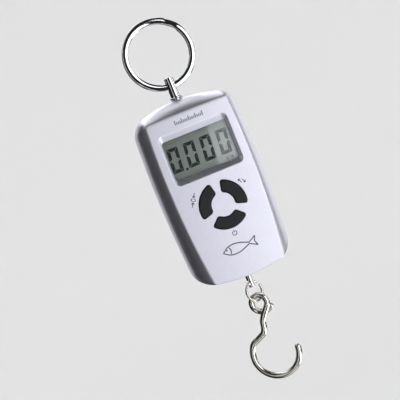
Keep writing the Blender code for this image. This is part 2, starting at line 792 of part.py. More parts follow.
def make_display(parent):
    """The window behind the opening, the LCD glass in its frame and the strips it sits on."""
    window_half = (OPENING_HALF[0] + 1.9 * MM, OPENING_HALF[1] + 1.8 * MM)
    frame_half = (18.8 * MM, 12.1 * MM)
    frame_wall = 1.3 * MM
    strip_y = (GLASS_Y[1] + GAP, BOARD_Y[0] - GAP)

    def about_display(half):
        return (DISPLAY_Z - half, DISPLAY_Z + half)

    outline = rounded_rectangle(window_half[0], *about_display(window_half[1]), 0.8 * MM, 2)
    place(prism("display_window", outline, *WINDOW_Y, "clear_plastic"), parent)
    frame_z = about_display(frame_half[1])
    frame_y = (GLASS_Y[0], BOARD_Y[0] - GAP)
    frame = box("lcd_frame", (-frame_half[0], frame_half[0]), frame_y, frame_z, "white_plastic")
    seat = frame_half[0] - frame_wall
    seat_z = about_display(frame_half[1] - frame_wall + GAP)
    cut(frame, box("glass_seat", (-seat, seat), (GLASS_Y[0] - 1 * MM, 0.0), seat_z))
    place(frame, parent)
    glass = seat - GAP
    glass_z = about_display(frame_half[1] - frame_wall)
    place(box("lcd_glass", (-glass, glass), GLASS_Y, glass_z, "display_green"), parent)
    for name, side in (("zebra_strip_upper", 1), ("zebra_strip_lower", -1)):
        z = sorted(DISPLAY_Z + side * reach for reach in (9.1 * MM, 10.7 * MM))
        place(box(name, (-16.5 * MM, 16.5 * MM), strip_y, z, "grey_rubber"), parent)


def make_keypad(parent):
    """The rubber sheet on the board, with one dome under the middle of each key."""
    outline = arc((0.0, KEYS_Z), MAT_RADIUS, 0.0, math.tau * 35 / 36, 35)
    mat = prism("keypad_mat", outline, *MAT_Y, "mat_rubber")
    profile = [
        (DOME_RADIUS, MAT_Y[0] + GAP),
        (DOME_RADIUS - 0.3 * MM, DOME_TOP_Y + 0.6 * MM),
        (DOME_RADIUS - 1.1 * MM, DOME_TOP_Y),
    ]
    for direction in KEY_DIRECTIONS.values():
        x, z = on_circle((0.0, KEYS_Z), KEY_MEAN_RADIUS, math.radians(direction))
        join(mat, turned("dome", profile, (x, 0, z), "Y", "mat_rubber", 16))
    place(mat, parent)


def make_key(name, direction, parent):
    """A key cap through the front face, with a wider skirt behind it that keeps it in."""
    angle = math.radians(direction)
    front = -HALF_DEPTH - KEY_PROUD
    skirt_y = FRONT_INSIDE_Y + GAP
    rings = [
        at_depth(key_outline(angle, -0.35 * MM), front),
        at_depth(key_outline(angle, -0.1 * MM), front + 0.12 * MM),
        at_depth(key_outline(angle), front + 0.4 * MM),
        at_depth(key_outline(angle), skirt_y),
        at_depth(key_outline(angle, SKIRT_WIDTH), skirt_y),
        at_depth(key_outline(angle, SKIRT_WIDTH), skirt_y + SKIRT_DEPTH),
    ]
    x, z = on_circle((0.0, KEYS_Z), KEY_MEAN_RADIUS, angle)
    place(loft(name, rings, "grey_rubber"), parent, (x, -HALF_DEPTH, z))


# ---- load path ----------------------------------------------------------------------------------


def hexagon_nut(name, across_flats, bore_radius, top, parent):
    corner = across_flats / math.sqrt(3)
    outline = arc((0.0, 0.0), corner, 0.0, math.tau * 5 / 6, 5)
    rings = [[Vector((x, y, z)) for x, y in outline] for z in (top - NUT_THICKNESS, top)]
    nut = loft(name, rings, "brass")
    cut(nut, rod("thread", bore_radius, (top - NUT_THICKNESS - 1 * MM, top + 1 * MM), sides=20))
    place(nut, parent)


def make_hanger_post(parent):
    """The post: ring hole above the case, flange on it, threaded end screwed into the load cell."""
    flange_z = CASE_TOP_Z + GAP
    flange_top = flange_z + FLANGE_THICKNESS
    chamfer = 0.35 * MM
    edge = 0.2 * MM
    shoulder = CELL_TOP_Z + STUD_SHOULDER
    profile = [
        (POST_RADIUS - chamfer, POST_TOP_Z),
        (POST_RADIUS, POST_TOP_Z - chamfer),
        (POST_RADIUS, flange_top),
        (FLANGE_RADIUS - edge, flange_top),
        (FLANGE_RADIUS, flange_top - edge),
        (FLANGE_RADIUS, flange_z),
        (SHANK_RADIUS, flange_z),
        (SHANK_RADIUS, shoulder),
        (STUD_RADIUS, shoulder),
        (STUD_RADIUS, CELL_TOP_Z - STUD_HOLE_DEPTH + GAP),
    ]
    post = turned("hanger_post", profile, finish="chrome")
    cut(post, rod("ring_hole", POST_HOLE_RADIUS, (-5 * MM, 5 * MM), (0, 0, POST_HOLE_Z), "X"))
    place(post, parent)
    clamp_top = CASE_TOP_Z - WALL - CLAMP_DROP
    hexagon_nut("post_clamp_nut", 8.0 * MM, SHANK_RADIUS + GAP, clamp_top, parent)
    locknut_top = CELL_TOP_Z + GAP + NUT_THICKNESS
    hexagon_nut("post_locknut", 7.0 * MM, STUD_RADIUS + GAP, locknut_top, parent)


def make_draw_bar(parent):
    """The bar that carries the load from the hook up to the load cell."""
    chamfer = 0.3 * MM
    shoulder = CELL_BOTTOM_Z - STUD_SHOULDER
    neck = CASE_BOTTOM_Z + 3.0 * MM
    profile = [
        (STUD_RADIUS, CELL_BOTTOM_Z + STUD_HOLE_DEPTH - GAP),
        (STUD_RADIUS, shoulder),
        (SHANK_RADIUS, shoulder),
        (SHANK_RADIUS, neck),
        (BAR_PIN_RADIUS, neck - 0.6 * MM),
        (BAR_PIN_RADIUS, BAR_END_Z + chamfer),
        (BAR_PIN_RADIUS - chamfer, BAR_END_Z),
    ]
    bar = turned("draw_bar", profile, finish="chrome", sides=20)
    hole = rod("link_hole", LINK_HOLE_RADIUS, (-4 * MM, 4 * MM), axis="X", sides=18)
    hole.data.transform(Matrix.Rotation(LINK_AZIMUTH, 4, "Z"))
    hole.data.transform(Matrix.Translation((0, 0, LINK_HOLE_Z)))
    cut(bar, hole)
    place(bar, parent)
    hexagon_nut("draw_bar_locknut", 7.0 * MM, STUD_RADIUS + GAP, CELL_BOTTOM_Z - GAP, parent)


def make_load_cell(parent):
    """An S-shaped beam: two slits from opposite sides and a pair of joined bores in the middle."""
    width, depth = CELL_HALF_WIDTH, CELL_HALF_DEPTH
    past = 1 * MM
    y = (-depth - past, depth + past)
    middle = (CELL_TOP_Z + CELL_BOTTOM_Z) / 2
    cell = box("load_cell", (-width, width), (-depth, depth), (CELL_BOTTOM_Z, CELL_TOP_Z), "aluminium")
    for side, z in zip((-1, 1), SLIT_Z):
        x = sorted((-side * width / 2, side * (width + past)))
        cut(cell, box("slit", x, y, (z - SLIT / 2, z + SLIT / 2)))
        cut(cell, bore(0.0, middle + side * CELL_BORE_STEP, CELL_BORE_RADIUS, *y))
    slot_z = (middle - CELL_BORE_STEP, middle + CELL_BORE_STEP)
    cut(
        cell,
        box("slot", (-0.6 * MM, 0.6 * MM), y, slot_z),
        rod("upper_thread", STUD_RADIUS + GAP, (CELL_TOP_Z - STUD_HOLE_DEPTH, CELL_TOP_Z + past)),
        rod("lower_thread", STUD_RADIUS + GAP, (CELL_BOTTOM_Z - past, CELL_BOTTOM_Z + STUD_HOLE_DEPTH)),
    )
    place(cell, parent)
    for name, side in (("strain_gauge_left", -1), ("strain_gauge_right", 1)):
        x = sorted(side * (width + reach) for reach in (SOLDER, SOLDER + 0.2 * MM))
        gauge = box(name, x, (-2.2 * MM, 2.2 * MM), (middle - 6 * MM, middle + 6 * MM), "gauge_foil")
        place(gauge, parent)


# ---- electronics --------------------------------------------------------------------------------


def make_board(parent):
    """The main board and the larger parts soldered to its back."""
    outline = rounded_rectangle(BOARD_HALF_WIDTH, BOARD_BOTTOM_Z, BOARD_TOP_Z, 1.5 * MM, 2)
    board = prism("main_board", outline, *BOARD_Y, "board_green")
    hole_y = (BOARD_Y[0] - 1 * MM, BOARD_Y[1] + 1 * MM)
    for sign in (-1, 1):
        for x, z in BOARD_SCREWS.values():
            cut(board, bore(sign * x, z, BOARD_SCREW_RADIUS + GAP, *hole_y))
    place(board, parent)
    y = SOLDER_Y
    blob = [(4.5 * MM, y), (4.2 * MM, y + 0.7 * MM), (2.6 * MM, y + 1.4 * MM)]
    place(turned("controller_blob", blob, (12.5 * MM, 0, -57 * MM), "Y", "resin_black", 20), parent)
    can = rounded_rectangle(1.6 * MM, -56 * MM, -52 * MM, 1.4 * MM)
    can = [(x - 12 * MM, z) for x, z in can]
    place(prism("crystal_can", can, y, y + 2.6 * MM, "steel"), parent)
    can_at = (-12 * MM, 0, -64 * MM)
    place(rod("capacitor", 2.5 * MM, (y, y + 5 * MM), can_at, "Y", "sleeve_black", 20), parent)
    chip_x, chip_z = (10.2 * MM, 14.8 * MM), (-68 * MM, -64.2 * MM)
    place(box("adc_chip", chip_x, (y, y + 1.5 * MM), chip_z, "resin_black"), parent)


def make_batteries(parent):
    """Two cells, head up on the left and head down on the right, with their contacts."""
    top = POCKET_Z[1] - GAP - CONTACT_THICKNESS
    bottom = POCKET_Z[0] + GAP + CONTACT_THICKNESS
    head_edge = 0.4 * MM
    for side, x, head, spring_end, down in (
        ("left", -BATTERY_X, top - GAP, bottom + GAP, -1),
        ("right", BATTERY_X, bottom + GAP, top - GAP, 1),
    ):
        profile = [
            (NUB_RADIUS, head),
            (NUB_RADIUS, head + down * NUB_HEIGHT),
            (BATTERY_RADIUS - head_edge, head + down * NUB_HEIGHT),
            (BATTERY_RADIUS, head + down * (NUB_HEIGHT + head_edge)),
            (BATTERY_RADIUS, head + down * BATTERY_LENGTH),
        ]
        place(turned(f"battery_{side}", profile, (x, BATTERY_Y, 0), "Z", "cell_wrap"), parent)
        foot = head + down * (BATTERY_LENGTH + GAP)
        make_spring(f"battery_spring_{side}", (x, BATTERY_Y), sorted((foot, spring_end)), parent)
    plate_y = (BATTERY_Y - CONTACT_HALF, BATTERY_Y + CONTACT_HALF)
    for name, x in (("positive_contact", -BATTERY_X), ("negative_contact", BATTERY_X)):
        plate_x = (x - CONTACT_HALF, x + CONTACT_HALF)
        place(box(name, plate_x, plate_y, (top, top + CONTACT_THICKNESS), "steel"), parent)
    reach = BATTERY_X + CONTACT_HALF
    bridge_z = (bottom - CONTACT_THICKNESS, bottom)
    place(box("bridge_contact", (-reach, reach), BRIDGE_Y, bridge_z, "steel"), parent)


def make_spring(name, axis_xy, z, parent):
    """A conical spring, wide at its lower end."""
    steps = SPRING_TURNS * 10
    start, end = z[0] + SPRING_WIRE, z[1] - SPRING_WIRE
    points = []
    for i in range(steps + 1):
        share = i / steps
        angle = math.tau * SPRING_TURNS * share
        radius = SPRING_RADII[0] + (SPRING_RADII[1] - SPRING_RADII[0]) * share
        x, y = on_circle(axis_xy, radius, angle)
        points.append((x, y, start + (end - start) * share))
    place(tube(name, points, SPRING_WIRE, "steel", 6), parent)


def make_battery_tray(parent):
    """Two open troughs joined by a web, which the lower case screws clamp to the front shell."""
    outer = POCKET_HALF + TRAY_WALL
    z = (POCKET_Z[0] - TRAY_WALL, POCKET_Z[1] + TRAY_WALL)
    y = (POCKET_FLOOR_Y - TRAY_FLOOR, TRAY_BACK_Y)
    near, far = BATTERY_X - outer, BATTERY_X + outer
    tray = box("battery_tray", (near, far), y, z, "black_plastic")
    join(
        tray,
        box("web", (-BATTERY_X, BATTERY_X), WEB_Y, (z[0], WEB_TOP_Z), "black_plastic"),
        box("trough", (-far, -near), y, z, "black_plastic"),
    )
    for sign in (-1, 1):
        pocket_x = sorted(sign * (BATTERY_X + half) for half in (-POCKET_HALF, POCKET_HALF))
        cut(tray, box("pocket", pocket_x, (POCKET_FLOOR_Y, TRAY_BACK_Y + 1 * MM), POCKET_Z))
        hole_y = (WEB_Y[0] - 1 * MM, WEB_Y[1] + 1 * MM)
        cut(tray, bore(sign * LOWER_SCREW[0], LOWER_SCREW[1], SCREW_RADIUS + GAP, *hole_y))
    slot_y = (BRIDGE_Y[0] - GAP, BRIDGE_Y[1] + GAP)
    slot_z = (POCKET_Z[0], POCKET_Z[0] + CONTACT_THICKNESS + 2 * GAP)
    cut(tray, box("bridge_slot", (-BATTERY_X, BATTERY_X), slot_y, slot_z))
    place(tray, parent)


def make_leads(parent):
    """Sleeved wires from the battery contacts and from the strain gauges to the board."""
    board_y = BOARD_Y[1] + GAP
    radius = 0.6 * MM
    above = POCKET_Z[1] + TRAY_WALL + GAP + radius
    for name, x, finish in (
        ("battery_lead_red", -BATTERY_X - 2 * MM, "sleeve_red"),
        ("battery_lead_black", BATTERY_X + 2 * MM, "sleeve_black"),
    ):
        points = [
            (x, BATTERY_Y, above),
            (x, BATTERY_Y - 0.6 * MM, above + 2.2 * MM),
            (x, 0.6 * MM, above + 4.0 * MM),
            (x, board_y + 1.6 * MM, above + 4.4 * MM),
            (x, board_y, above + 4.4 * MM),
        ]
        place(tube(name, through(points, 3), radius, finish), parent)
    x = CELL_HALF_WIDTH + 0.95 * MM
    points = [
        (x, 0.5 * MM, -77 * MM),
        (x, 0.5 * MM, -72.5 * MM),
        (x + 0.2 * MM, -0.4 * MM, -68.5 * MM),
        (x + 0.8 * MM, board_y + 1.2 * MM, -66.6 * MM),
        (x + 0.9 * MM, board_y, -66.4 * MM),
    ]
    place(tube("gauge_lead", through(points, 3), 0.45 * MM, "sleeve_grey", 6), parent)


# ---- screws -------------------------------------------------------------------------------------


def make_screw(name, position, y, radius, head_radius, head_height, parent):
    """A pan-head screw along Y, its head towards the back with a cross recess in it."""
    x, z = position
    tip, top = y
    under_head = top - head_height
    profile = [
        (radius / 2, tip),
        (radius, tip + radius),
        (radius, under_head),
        (head_radius, under_head),
        (head_radius, top - head_height * 0.4),
        (head_radius * 0.7, top),
    ]
    screw = turned(name, profile, (x, 0, z), "Y", "steel", 12)
    arm, half = head_radius * 0.55, head_radius * 0.12
    recess_y = (top - head_height * 0.45, top + 1 * MM)
    cut(
        screw,
        box("recess", (x - arm, x + arm), recess_y, (z - half, z + half)),
        box("recess", (x - half, x + half), recess_y, (z - arm, z + arm)),
    )
    place(screw, parent)


def make_screws(parent):
    case_size = (SCREW_RADIUS, SCREW_HEAD_RADIUS, SCREW_HEAD_HEIGHT)
    board_size = (BOARD_SCREW_RADIUS, BOARD_SCREW_HEAD, BOARD_SCREW_HEIGHT)
    upper_y = (SCREW_TIP_Y, UPPER_HEAD_Y)
    lower_y = (SCREW_TIP_Y, WEB_Y[1] + GAP + SCREW_HEAD_HEIGHT)
    board_y = (BOARD_SCREW_TIP_Y, BOARD_Y[1] + GAP + BOARD_SCREW_HEIGHT)
    for side, sign in (("left", -1), ("right", 1)):
        for row, (x, z), y in (("upper", UPPER_SCREW, upper_y), ("lower", LOWER_SCREW, lower_y)):
            make_screw(f"case_screw_{row}_{side}", (sign * x, z), y, *case_size, parent)
        for row, (x, z) in BOARD_SCREWS.items():
            make_screw(f"board_screw_{row}_{side}", (sign * x, z), board_y, *board_size, parent)


def main():
    clear_scene()
    ring = pivot("ring_hang_point", (0, 0, 0))
    case = pivot("case_pivot", (0, 0, POST_HOLE_Z), ring)
    link = pivot("link_pivot", (0, 0, LINK_HOLE_Z), case)
    hook = pivot("hook_pivot", (0, 0, LINK_CENTRE_Z), link)
    make_split_ring(ring)
    make_front_shell(case)
    make_rear_shell(case)
    make_battery_door(case)
    make_display(case)
    make_keypad(case)
    for name, direction in KEY_DIRECTIONS.items():
        make_key(name, direction, case)
    make_hanger_post(case)
    make_load_cell(case)
    make_draw_bar(case)
    make_board(case)
    make_battery_tray(case)
    make_batteries(case)
    make_leads(case)
    make_screws(case)
    make_link(link)
    make_hook(hook)


main()
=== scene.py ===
# Looks of the pocket hanging scale. Lengths are metres in the row frame: +Z up, front face to -Y.
# Pieces that show are rebuilt here in fine mesh over their CAD nodes, the rest get a material.

import json
import math

import bmesh
import bpy
from mathutils import Matrix, Vector

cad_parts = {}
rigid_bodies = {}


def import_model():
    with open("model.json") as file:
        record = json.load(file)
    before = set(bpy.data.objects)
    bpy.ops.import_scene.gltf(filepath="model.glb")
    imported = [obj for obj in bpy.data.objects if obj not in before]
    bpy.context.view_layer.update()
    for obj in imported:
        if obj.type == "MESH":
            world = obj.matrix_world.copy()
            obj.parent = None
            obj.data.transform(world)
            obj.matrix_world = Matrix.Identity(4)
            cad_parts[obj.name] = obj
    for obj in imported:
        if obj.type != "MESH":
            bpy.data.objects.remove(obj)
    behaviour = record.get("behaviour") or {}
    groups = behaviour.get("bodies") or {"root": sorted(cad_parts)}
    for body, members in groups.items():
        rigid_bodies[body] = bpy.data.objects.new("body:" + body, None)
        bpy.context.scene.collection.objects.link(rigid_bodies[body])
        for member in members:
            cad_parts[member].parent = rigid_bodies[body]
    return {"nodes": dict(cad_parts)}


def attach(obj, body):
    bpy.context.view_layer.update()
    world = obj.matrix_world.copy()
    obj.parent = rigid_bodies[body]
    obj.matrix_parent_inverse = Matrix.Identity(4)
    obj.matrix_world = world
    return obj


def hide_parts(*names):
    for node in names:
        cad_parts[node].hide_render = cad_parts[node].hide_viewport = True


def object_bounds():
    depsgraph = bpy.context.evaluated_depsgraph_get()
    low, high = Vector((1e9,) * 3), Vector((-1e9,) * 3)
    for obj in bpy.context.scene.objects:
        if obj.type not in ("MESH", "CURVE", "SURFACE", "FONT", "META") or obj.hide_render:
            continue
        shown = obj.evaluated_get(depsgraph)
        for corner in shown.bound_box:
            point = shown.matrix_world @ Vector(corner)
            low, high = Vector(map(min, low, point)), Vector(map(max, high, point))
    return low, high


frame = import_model()
CAD_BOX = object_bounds()
MM = 0.001
GAP = 0.3 * MM


def in_mm(*values):
    """Numbers, or tuples of numbers, with their millimetres turned into metres."""
    return [tuple(in_mm(*v)) if isinstance(v, tuple) else v * MM for v in values]



# Case
HALF_DEPTH = 11.0 * MM
WALL = 1.6 * MM
INSIDE_Y = HALF_DEPTH - WALL
CASE_TOP_Z = -37.2 * MM
CASE_BOTTOM_Z = -126.6 * MM
TOP_ARC_RADIUS = 66.0 * MM
BOTTOM_ARC_RADIUS = 83.0 * MM
ROLL_ANGLE = math.radians(60)
BACK_FULLNESS = 3.0
FACE_FILLET = 0.35 * MM
TOP_FILLET = 1.4 * MM
RIM_FILLET = 0.3 * MM

# Display
DISPLAY_Z = -63.9 * MM
RECESS_HALF = in_mm(17.1, 12.3)
RECESS_LIFT = 0.2 * MM  # the recess sits this much higher than the opening in it
OPENING_HALF = in_mm(16.1, 9.6)
WINDOW_HALF = in_mm(18.0, 11.4)
WINDOW_Y = in_mm(-9.1, -8.3)
GLASS_HALF = in_mm(17.2, 10.8)
GLASS_Y = in_mm(-8.0, -6.4)
DIGIT_WIDTH = 5.4 * MM
DIGIT_HEIGHT = 11.8 * MM
DIGIT_PITCH = 8.2 * MM
FIRST_DIGIT_X = -12.8 * MM
DIGIT_SLANT = math.tan(math.radians(4.7))
DIGIT_STROKE = 1.6 * MM
POINT_X = -8.95 * MM  # the decimal point

# Keys
KEYS_Z = -91.2 * MM
KEY_OUTER_RADIUS = 11.3 * MM
KEY_INNER_RADIUS = 6.0 * MM
KEY_MEAN_RADIUS = (KEY_OUTER_RADIUS + KEY_INNER_RADIUS) / 2
KEY_HALF_SPAN = math.radians(45)
KEY_CORNER = 0.9 * MM
KEY_PROUD = 0.4 * MM
SKIRT_WIDTH = 0.9 * MM
SKIRT_DEPTH = 0.6 * MM
RIB_PITCH = 0.8 * MM
KEY_DIRECTIONS = {"key_unit": 30, "key_tare": 150, "key_power": 270}  # degrees from +X towards +Z

# Printing on the face
MARK_STROKE = 0.38 * MM
MARK_RADIUS = 14.2 * MM  # the key signs' distance from the keys' centre
SCALE_Z = -49.0 * MM  # the foot of the graduation marks
FISH_Z = -112.3 * MM
INK_DEPTH = 0.02 * MM

# Screws and the bosses they turn into
UPPER_SCREW = in_mm(17.0, -46.6)
LOWER_SCREW = in_mm(5.2, -113.0)
BOARD_SCREWS = in_mm((16.6, -80.0), (10.5, -105.4))

# Battery door and the compartment behind it
DOOR_HALF_WIDTH = 18.9 * MM
DOOR_TOP_Z = -69.8 * MM
DOOR_INSIDE_Y = 9.7 * MM
DOVETAIL = 0.9 * MM

# Ring, post, draw bar and link
RING_RADIUS = 16.0 * MM
RING_CENTRE = (0.0, 0.0, -14.5 * MM)
RING_HOLE_Z = -30.4 * MM
LINK_HOLE_Z = -130.8 * MM
LINK_RADIUS = 4.8 * MM
LINK_CENTRE = (0.0, 0.0, -135.48 * MM)
LINK_AZIMUTH = math.radians(31)

# Hook, its points measured across and up from the eye's centre
HOOK_AZIMUTH = math.radians(-26)
HOOK_WIRE_RADIUS = 1.5 * MM
EYE_CENTRE_Z = -141.58 * MM
EYE_RADIUS = 3.75 * MM
EYE_ENDS = (math.radians(327), math.radians(-40))  # round the eye, from the wire's end to the shank
EYE_CROSSING = (math.radians(180), math.radians(275))  # where the end's strand moves behind the shank
EYE_BEHIND = 3.3 * MM  # how far behind the shank it then lies
EYE_FLARE = 1.3 * MM  # how far outside the eye's circle
SHANK_LEAD = math.radians(-27)  # the place on the eye that gives the shank its direction
SHANK_POINTS = in_mm((0.1, -5.9), (-1.7, -8.9), (-2.4, -12.0), (-3.8, -14.5), (-6.7, -16.2))
BOWL_CENTRE = in_mm(-1.6, -25.2)
BOWL_RADIUS = 11.3 * MM
BOWL_ENDS = (math.radians(140), math.radians(358))
BOWL_LEAD = math.radians(15)  # how much of the bowl the shank's curve takes over


# ---- materials


def new_material(name, colour, metallic, roughness):
    made = bpy.data.materials.new(name)
    made.use_nodes = True
    shader = made.node_tree.nodes["Principled BSDF"]
    shader.inputs["Base Color"].default_value = (*colour, 1.0)
    shader.inputs["Metallic"].default_value = metallic
    shader.inputs["Roughness"].default_value = roughness
    return made


def add_node(made, kind, **settings):
    node = made.node_tree.nodes.new(kind)
    for key, value in settings.items():
        if key in node.inputs:
            node.inputs[key].default_value = value
        else:
            setattr(node, key, value)
    return node


def wire(made, source, target):
    made.node_tree.links.new(source, target)


def shader_of(made):
    return made.node_tree.nodes["Principled BSDF"]


def object_point(made):
    """The shaded point in the row frame."""
    return add_node(made, "ShaderNodeTexCoord").outputs["Object"]


def noise(made, size, detail=2.0, stretch=(1.0, 1.0, 1.0)):
    """Noise whose grains are about size across, in the row frame."""
    mapping = add_node(made, "ShaderNodeMapping")
    mapping.inputs["Scale"].default_value = [1 / (size * s) for s in stretch]
    texture = add_node(made, "ShaderNodeTexNoise", Detail=detail, Scale=1.0)
    wire(made, object_point(made), mapping.inputs["Vector"])
    wire(made, mapping.outputs["Vector"], texture.inputs["Vector"])
    return texture.outputs["Fac"]


def ramp(made, source, stops):
    """Colours or greys along a value, from (position, colour) pairs."""
    node = add_node(made, "ShaderNodeValToRGB")
    elements = node.color_ramp.elements
    while len(elements) < len(stops):
        elements.new(0.5)
    for element, (position, colour) in zip(elements, stops):
        element.position = position
        element.color = (*colour, 1.0) if isinstance(colour, tuple) else (colour, colour, colour, 1.0)
    wire(made, source, node.inputs["Fac"])
    return node.outputs["Color"]


def vary_colour(made, source, low, high, colour):
    """Darkens and lightens the colour a little with a noise."""
    shades = [(p, tuple(min(c * k, 1.0) for c in colour)) for p, k in ((0.3, low), (0.7, high))]
    wire(made, ramp(made, source, shades), shader_of(made).inputs["Base Color"])


def vary_roughness(made, source, low, high):
    wire(made, ramp(made, source, [(0.3, low), (0.7, high)]), shader_of(made).inputs["Roughness"])


def add_bump(made, source, height):
    """Bump from a 0 to 1 value, its full height given in metres."""
    bump = add_node(made, "ShaderNodeBump", Strength=1.0, Distance=height)
    wire(made, source, bump.inputs["Height"])
    wire(made, bump.outputs["Normal"], shader_of(made).inputs["Normal"])


def chain(made, source, *steps):
    """A value or vector taken through steps of (kind of node, operation, second operand)."""
    for kind, operation, operand in steps:
        node = add_node(made, "ShaderNode" + kind, operation=operation)
        if operand is not None:
            node.inputs[1].default_value = operand
        wire(made, source, node.inputs[0])
        source = node.outputs["Value" if operation == "LENGTH" else 0]
    return source


def silver_paint():
    """Fine metallic flake under a satin lacquer."""
    colour = (0.79, 0.79, 0.89)
    made = new_material("silver_paint", colour, 0.97, 0.41)
    flake = noise(made, 0.3 * MM, 4.0)
    vary_colour(made, flake, 0.93, 1.05, colour)
    vary_roughness(made, noise(made, 6 * MM, 3.0), 0.39, 0.43)
    add_bump(made, flake, 0.012 * MM)
    return made


def plated(name, colour, roughness):
    """Bright plating, with faint handling marks in its gloss."""
    made = new_material(name, colour, 1.0, roughness)
    vary_roughness(made, noise(made, 0.8 * MM, 4.0), roughness * 0.6, roughness * 1.6)
    add_bump(made, noise(made, 2.5 * MM, 2.0), 0.004 * MM)
    return made


def moulded(name, colour, roughness, grain=0.25 * MM, height=0.01 * MM):
    """Moulded plastic or rubber with a fine grain."""
    made = new_material(name, colour, 0.0, roughness)
    fine = noise(made, grain, 2.0)
    vary_colour(made, noise(made, 5 * MM, 3.0), 0.92, 1.08, colour)
    vary_roughness(made, fine, roughness * 0.9, roughness * 1.1)
    add_bump(made, fine, height)
    return made


def turned_metal(name, colour, roughness):
    """Machined metal with tool marks round it."""
    made = new_material(name, colour, 1.0, roughness)
    marks = noise(made, 0.3 * MM, 2.0, (8.0, 8.0, 0.4))
    vary_colour(made, marks, 0.9, 1.08, colour)
    vary_roughness(made, marks, roughness * 0.75, roughness * 1.25)
    add_bump(made, marks, 0.004 * MM)
    return made


def ribbed_rubber():
    """Dark rubber with fine ribs moulded round the keys' common centre, in place of a grain."""
    made = moulded("key_rubber", (0.008, 0.009, 0.011), 0.60)
    shader_of(made).inputs["Specular IOR Level"].default_value = 0.35
    rib = chain(
        made,
        object_point(made),
        ("VectorMath", "SUBTRACT", (0.0, 0.0, KEYS_Z)),
        ("VectorMath", "MULTIPLY", (1.0, 0.0, 1.0)),
        ("VectorMath", "LENGTH", None),
        ("Math", "MULTIPLY", math.tau / RIB_PITCH),
        ("Math", "SINE", None),
    )
    add_bump(made, rib, 0.02 * MM)
    return made


def clear_window():
    """Clear acrylic that lets lamps through to the display."""
    made = new_material("clear_window", (0.96, 0.98, 0.98), 0.0, 0.03)
    shader = shader_of(made)
    shader.inputs["Transmission Weight"].default_value = 1.0
    shader.inputs["IOR"].default_value = 1.43
    path = add_node(made, "ShaderNodeLightPath")
    passing = add_node(made, "ShaderNodeBsdfTransparent", Color=(0.94, 0.95, 0.95, 1.0))
    either = add_node(made, "ShaderNodeMath", operation="MAXIMUM")
    mix = add_node(made, "ShaderNodeMixShader")
    output = made.node_tree.nodes["Material Output"]
    wire(made, path.outputs["Is Shadow Ray"], either.inputs[0])
    wire(made, path.outputs["Is Diffuse Ray"], either.inputs[1])
    wire(made, either.outputs[0], mix.inputs["Fac"])
    wire(made, shader.outputs[0], mix.inputs[1])
    wire(made, passing.outputs[0], mix.inputs[2])
    wire(made, mix.outputs[0], output.inputs["Surface"])
    return made


def display_glass():
    """Grey-green polariser over the liquid crystal, made paler towards the right by a painted
    reflection of glare.
    """
    made = new_material("display_polariser", (0.16, 0.185, 0.165), 0.0, 0.30)
    parts = add_node(made, "ShaderNodeSeparateXYZ")
    across = add_node(made, "ShaderNodeMapRange")
    across.inputs["From Min"].default_value = -16 * MM
    across.inputs["From Max"].default_value = 17 * MM
    wire(made, object_point(made), parts.inputs["Vector"])
    wire(made, parts.outputs["X"], across.inputs["Value"])
    # The lighter stops towards +X are a painted reflection, the glare of a soft light on the pane, not
    # the polariser's own tone.
    shades = [(0.0, (0.125, 0.140, 0.120)), (0.6, (0.150, 0.172, 0.158)), (1.0, (0.19, 0.215, 0.21))]
    wire(made, ramp(made, across.outputs["Result"], shades), shader_of(made).inputs["Base Color"])
    add_bump(made, noise(made, 0.12 * MM, 1.0), 0.0004 * MM)
    return made


def display_ink():
    """Darkened liquid crystal, whose only gloss is that of the window in front."""
    made = moulded("display_segments", (0.006, 0.008, 0.009), 0.45)
    shader_of(made).inputs["Specular IOR Level"].default_value = 0.0
    return made


def circuit_board():
    """Green solder resist over copper tracks."""
    made = new_material("circuit_board", (0.03, 0.17, 0.07), 0.0, 0.35)
    bricks = add_node(made, "ShaderNodeTexBrick", offset=0.35, squash=0.7, squash_frequency=3)
    bricks.inputs["Scale"].default_value = 260.0
    bricks.inputs["Mortar Size"].default_value = 0.03
    colours = {"Color1": (0.03, 0.16, 0.06), "Color2": (0.04, 0.20, 0.08), "Mortar": (0.10, 0.36, 0.14)}
    for name, colour in colours.items():
        bricks.inputs[name].default_value = (*colour, 1.0)
    wire(made, object_point(made), bricks.inputs["Vector"])
    wire(made, bricks.outputs["Color"], shader_of(made).inputs["Base Color"])
    add_bump(made, bricks.outputs["Fac"], 0.02 * MM)
    return made


def battery_wrap():
    """A dark blue sleeve with a pale band near each end, shrunk over the cell's steel rims."""
    blue, pale, rim = (0.02, 0.05, 0.14), (0.55, 0.57, 0.60), (0.62, 0.62, 0.63)
    edges = ((0.0, blue), (0.29, pale), (0.36, blue), (0.465, rim), (0.5, rim))  # from the middle
    blur = 0.002
    made = new_material("battery_wrap", blue, 0.25, 0.28)
    coordinates = add_node(made, "ShaderNodeTexCoord")
    parts = add_node(made, "ShaderNodeSeparateXYZ")
    wire(made, coordinates.outputs["Generated"], parts.inputs["Vector"])
    outwards = chain(made, parts.outputs["Z"], ("Math", "SUBTRACT", 0.5), ("Math", "ABSOLUTE", None))
    bands = []
    for (start, colour), (end, _) in zip(edges, edges[1:]):
        bands += [(start + blur, colour), (end, colour)]
    wire(made, ramp(made, outwards, bands), shader_of(made).inputs["Base Color"])
    vary_roughness(made, noise(made, 1.5 * MM, 3.0), 0.24, 0.34)
    add_bump(made, noise(made, 0.6 * MM, 2.0), 0.004 * MM)
    return made


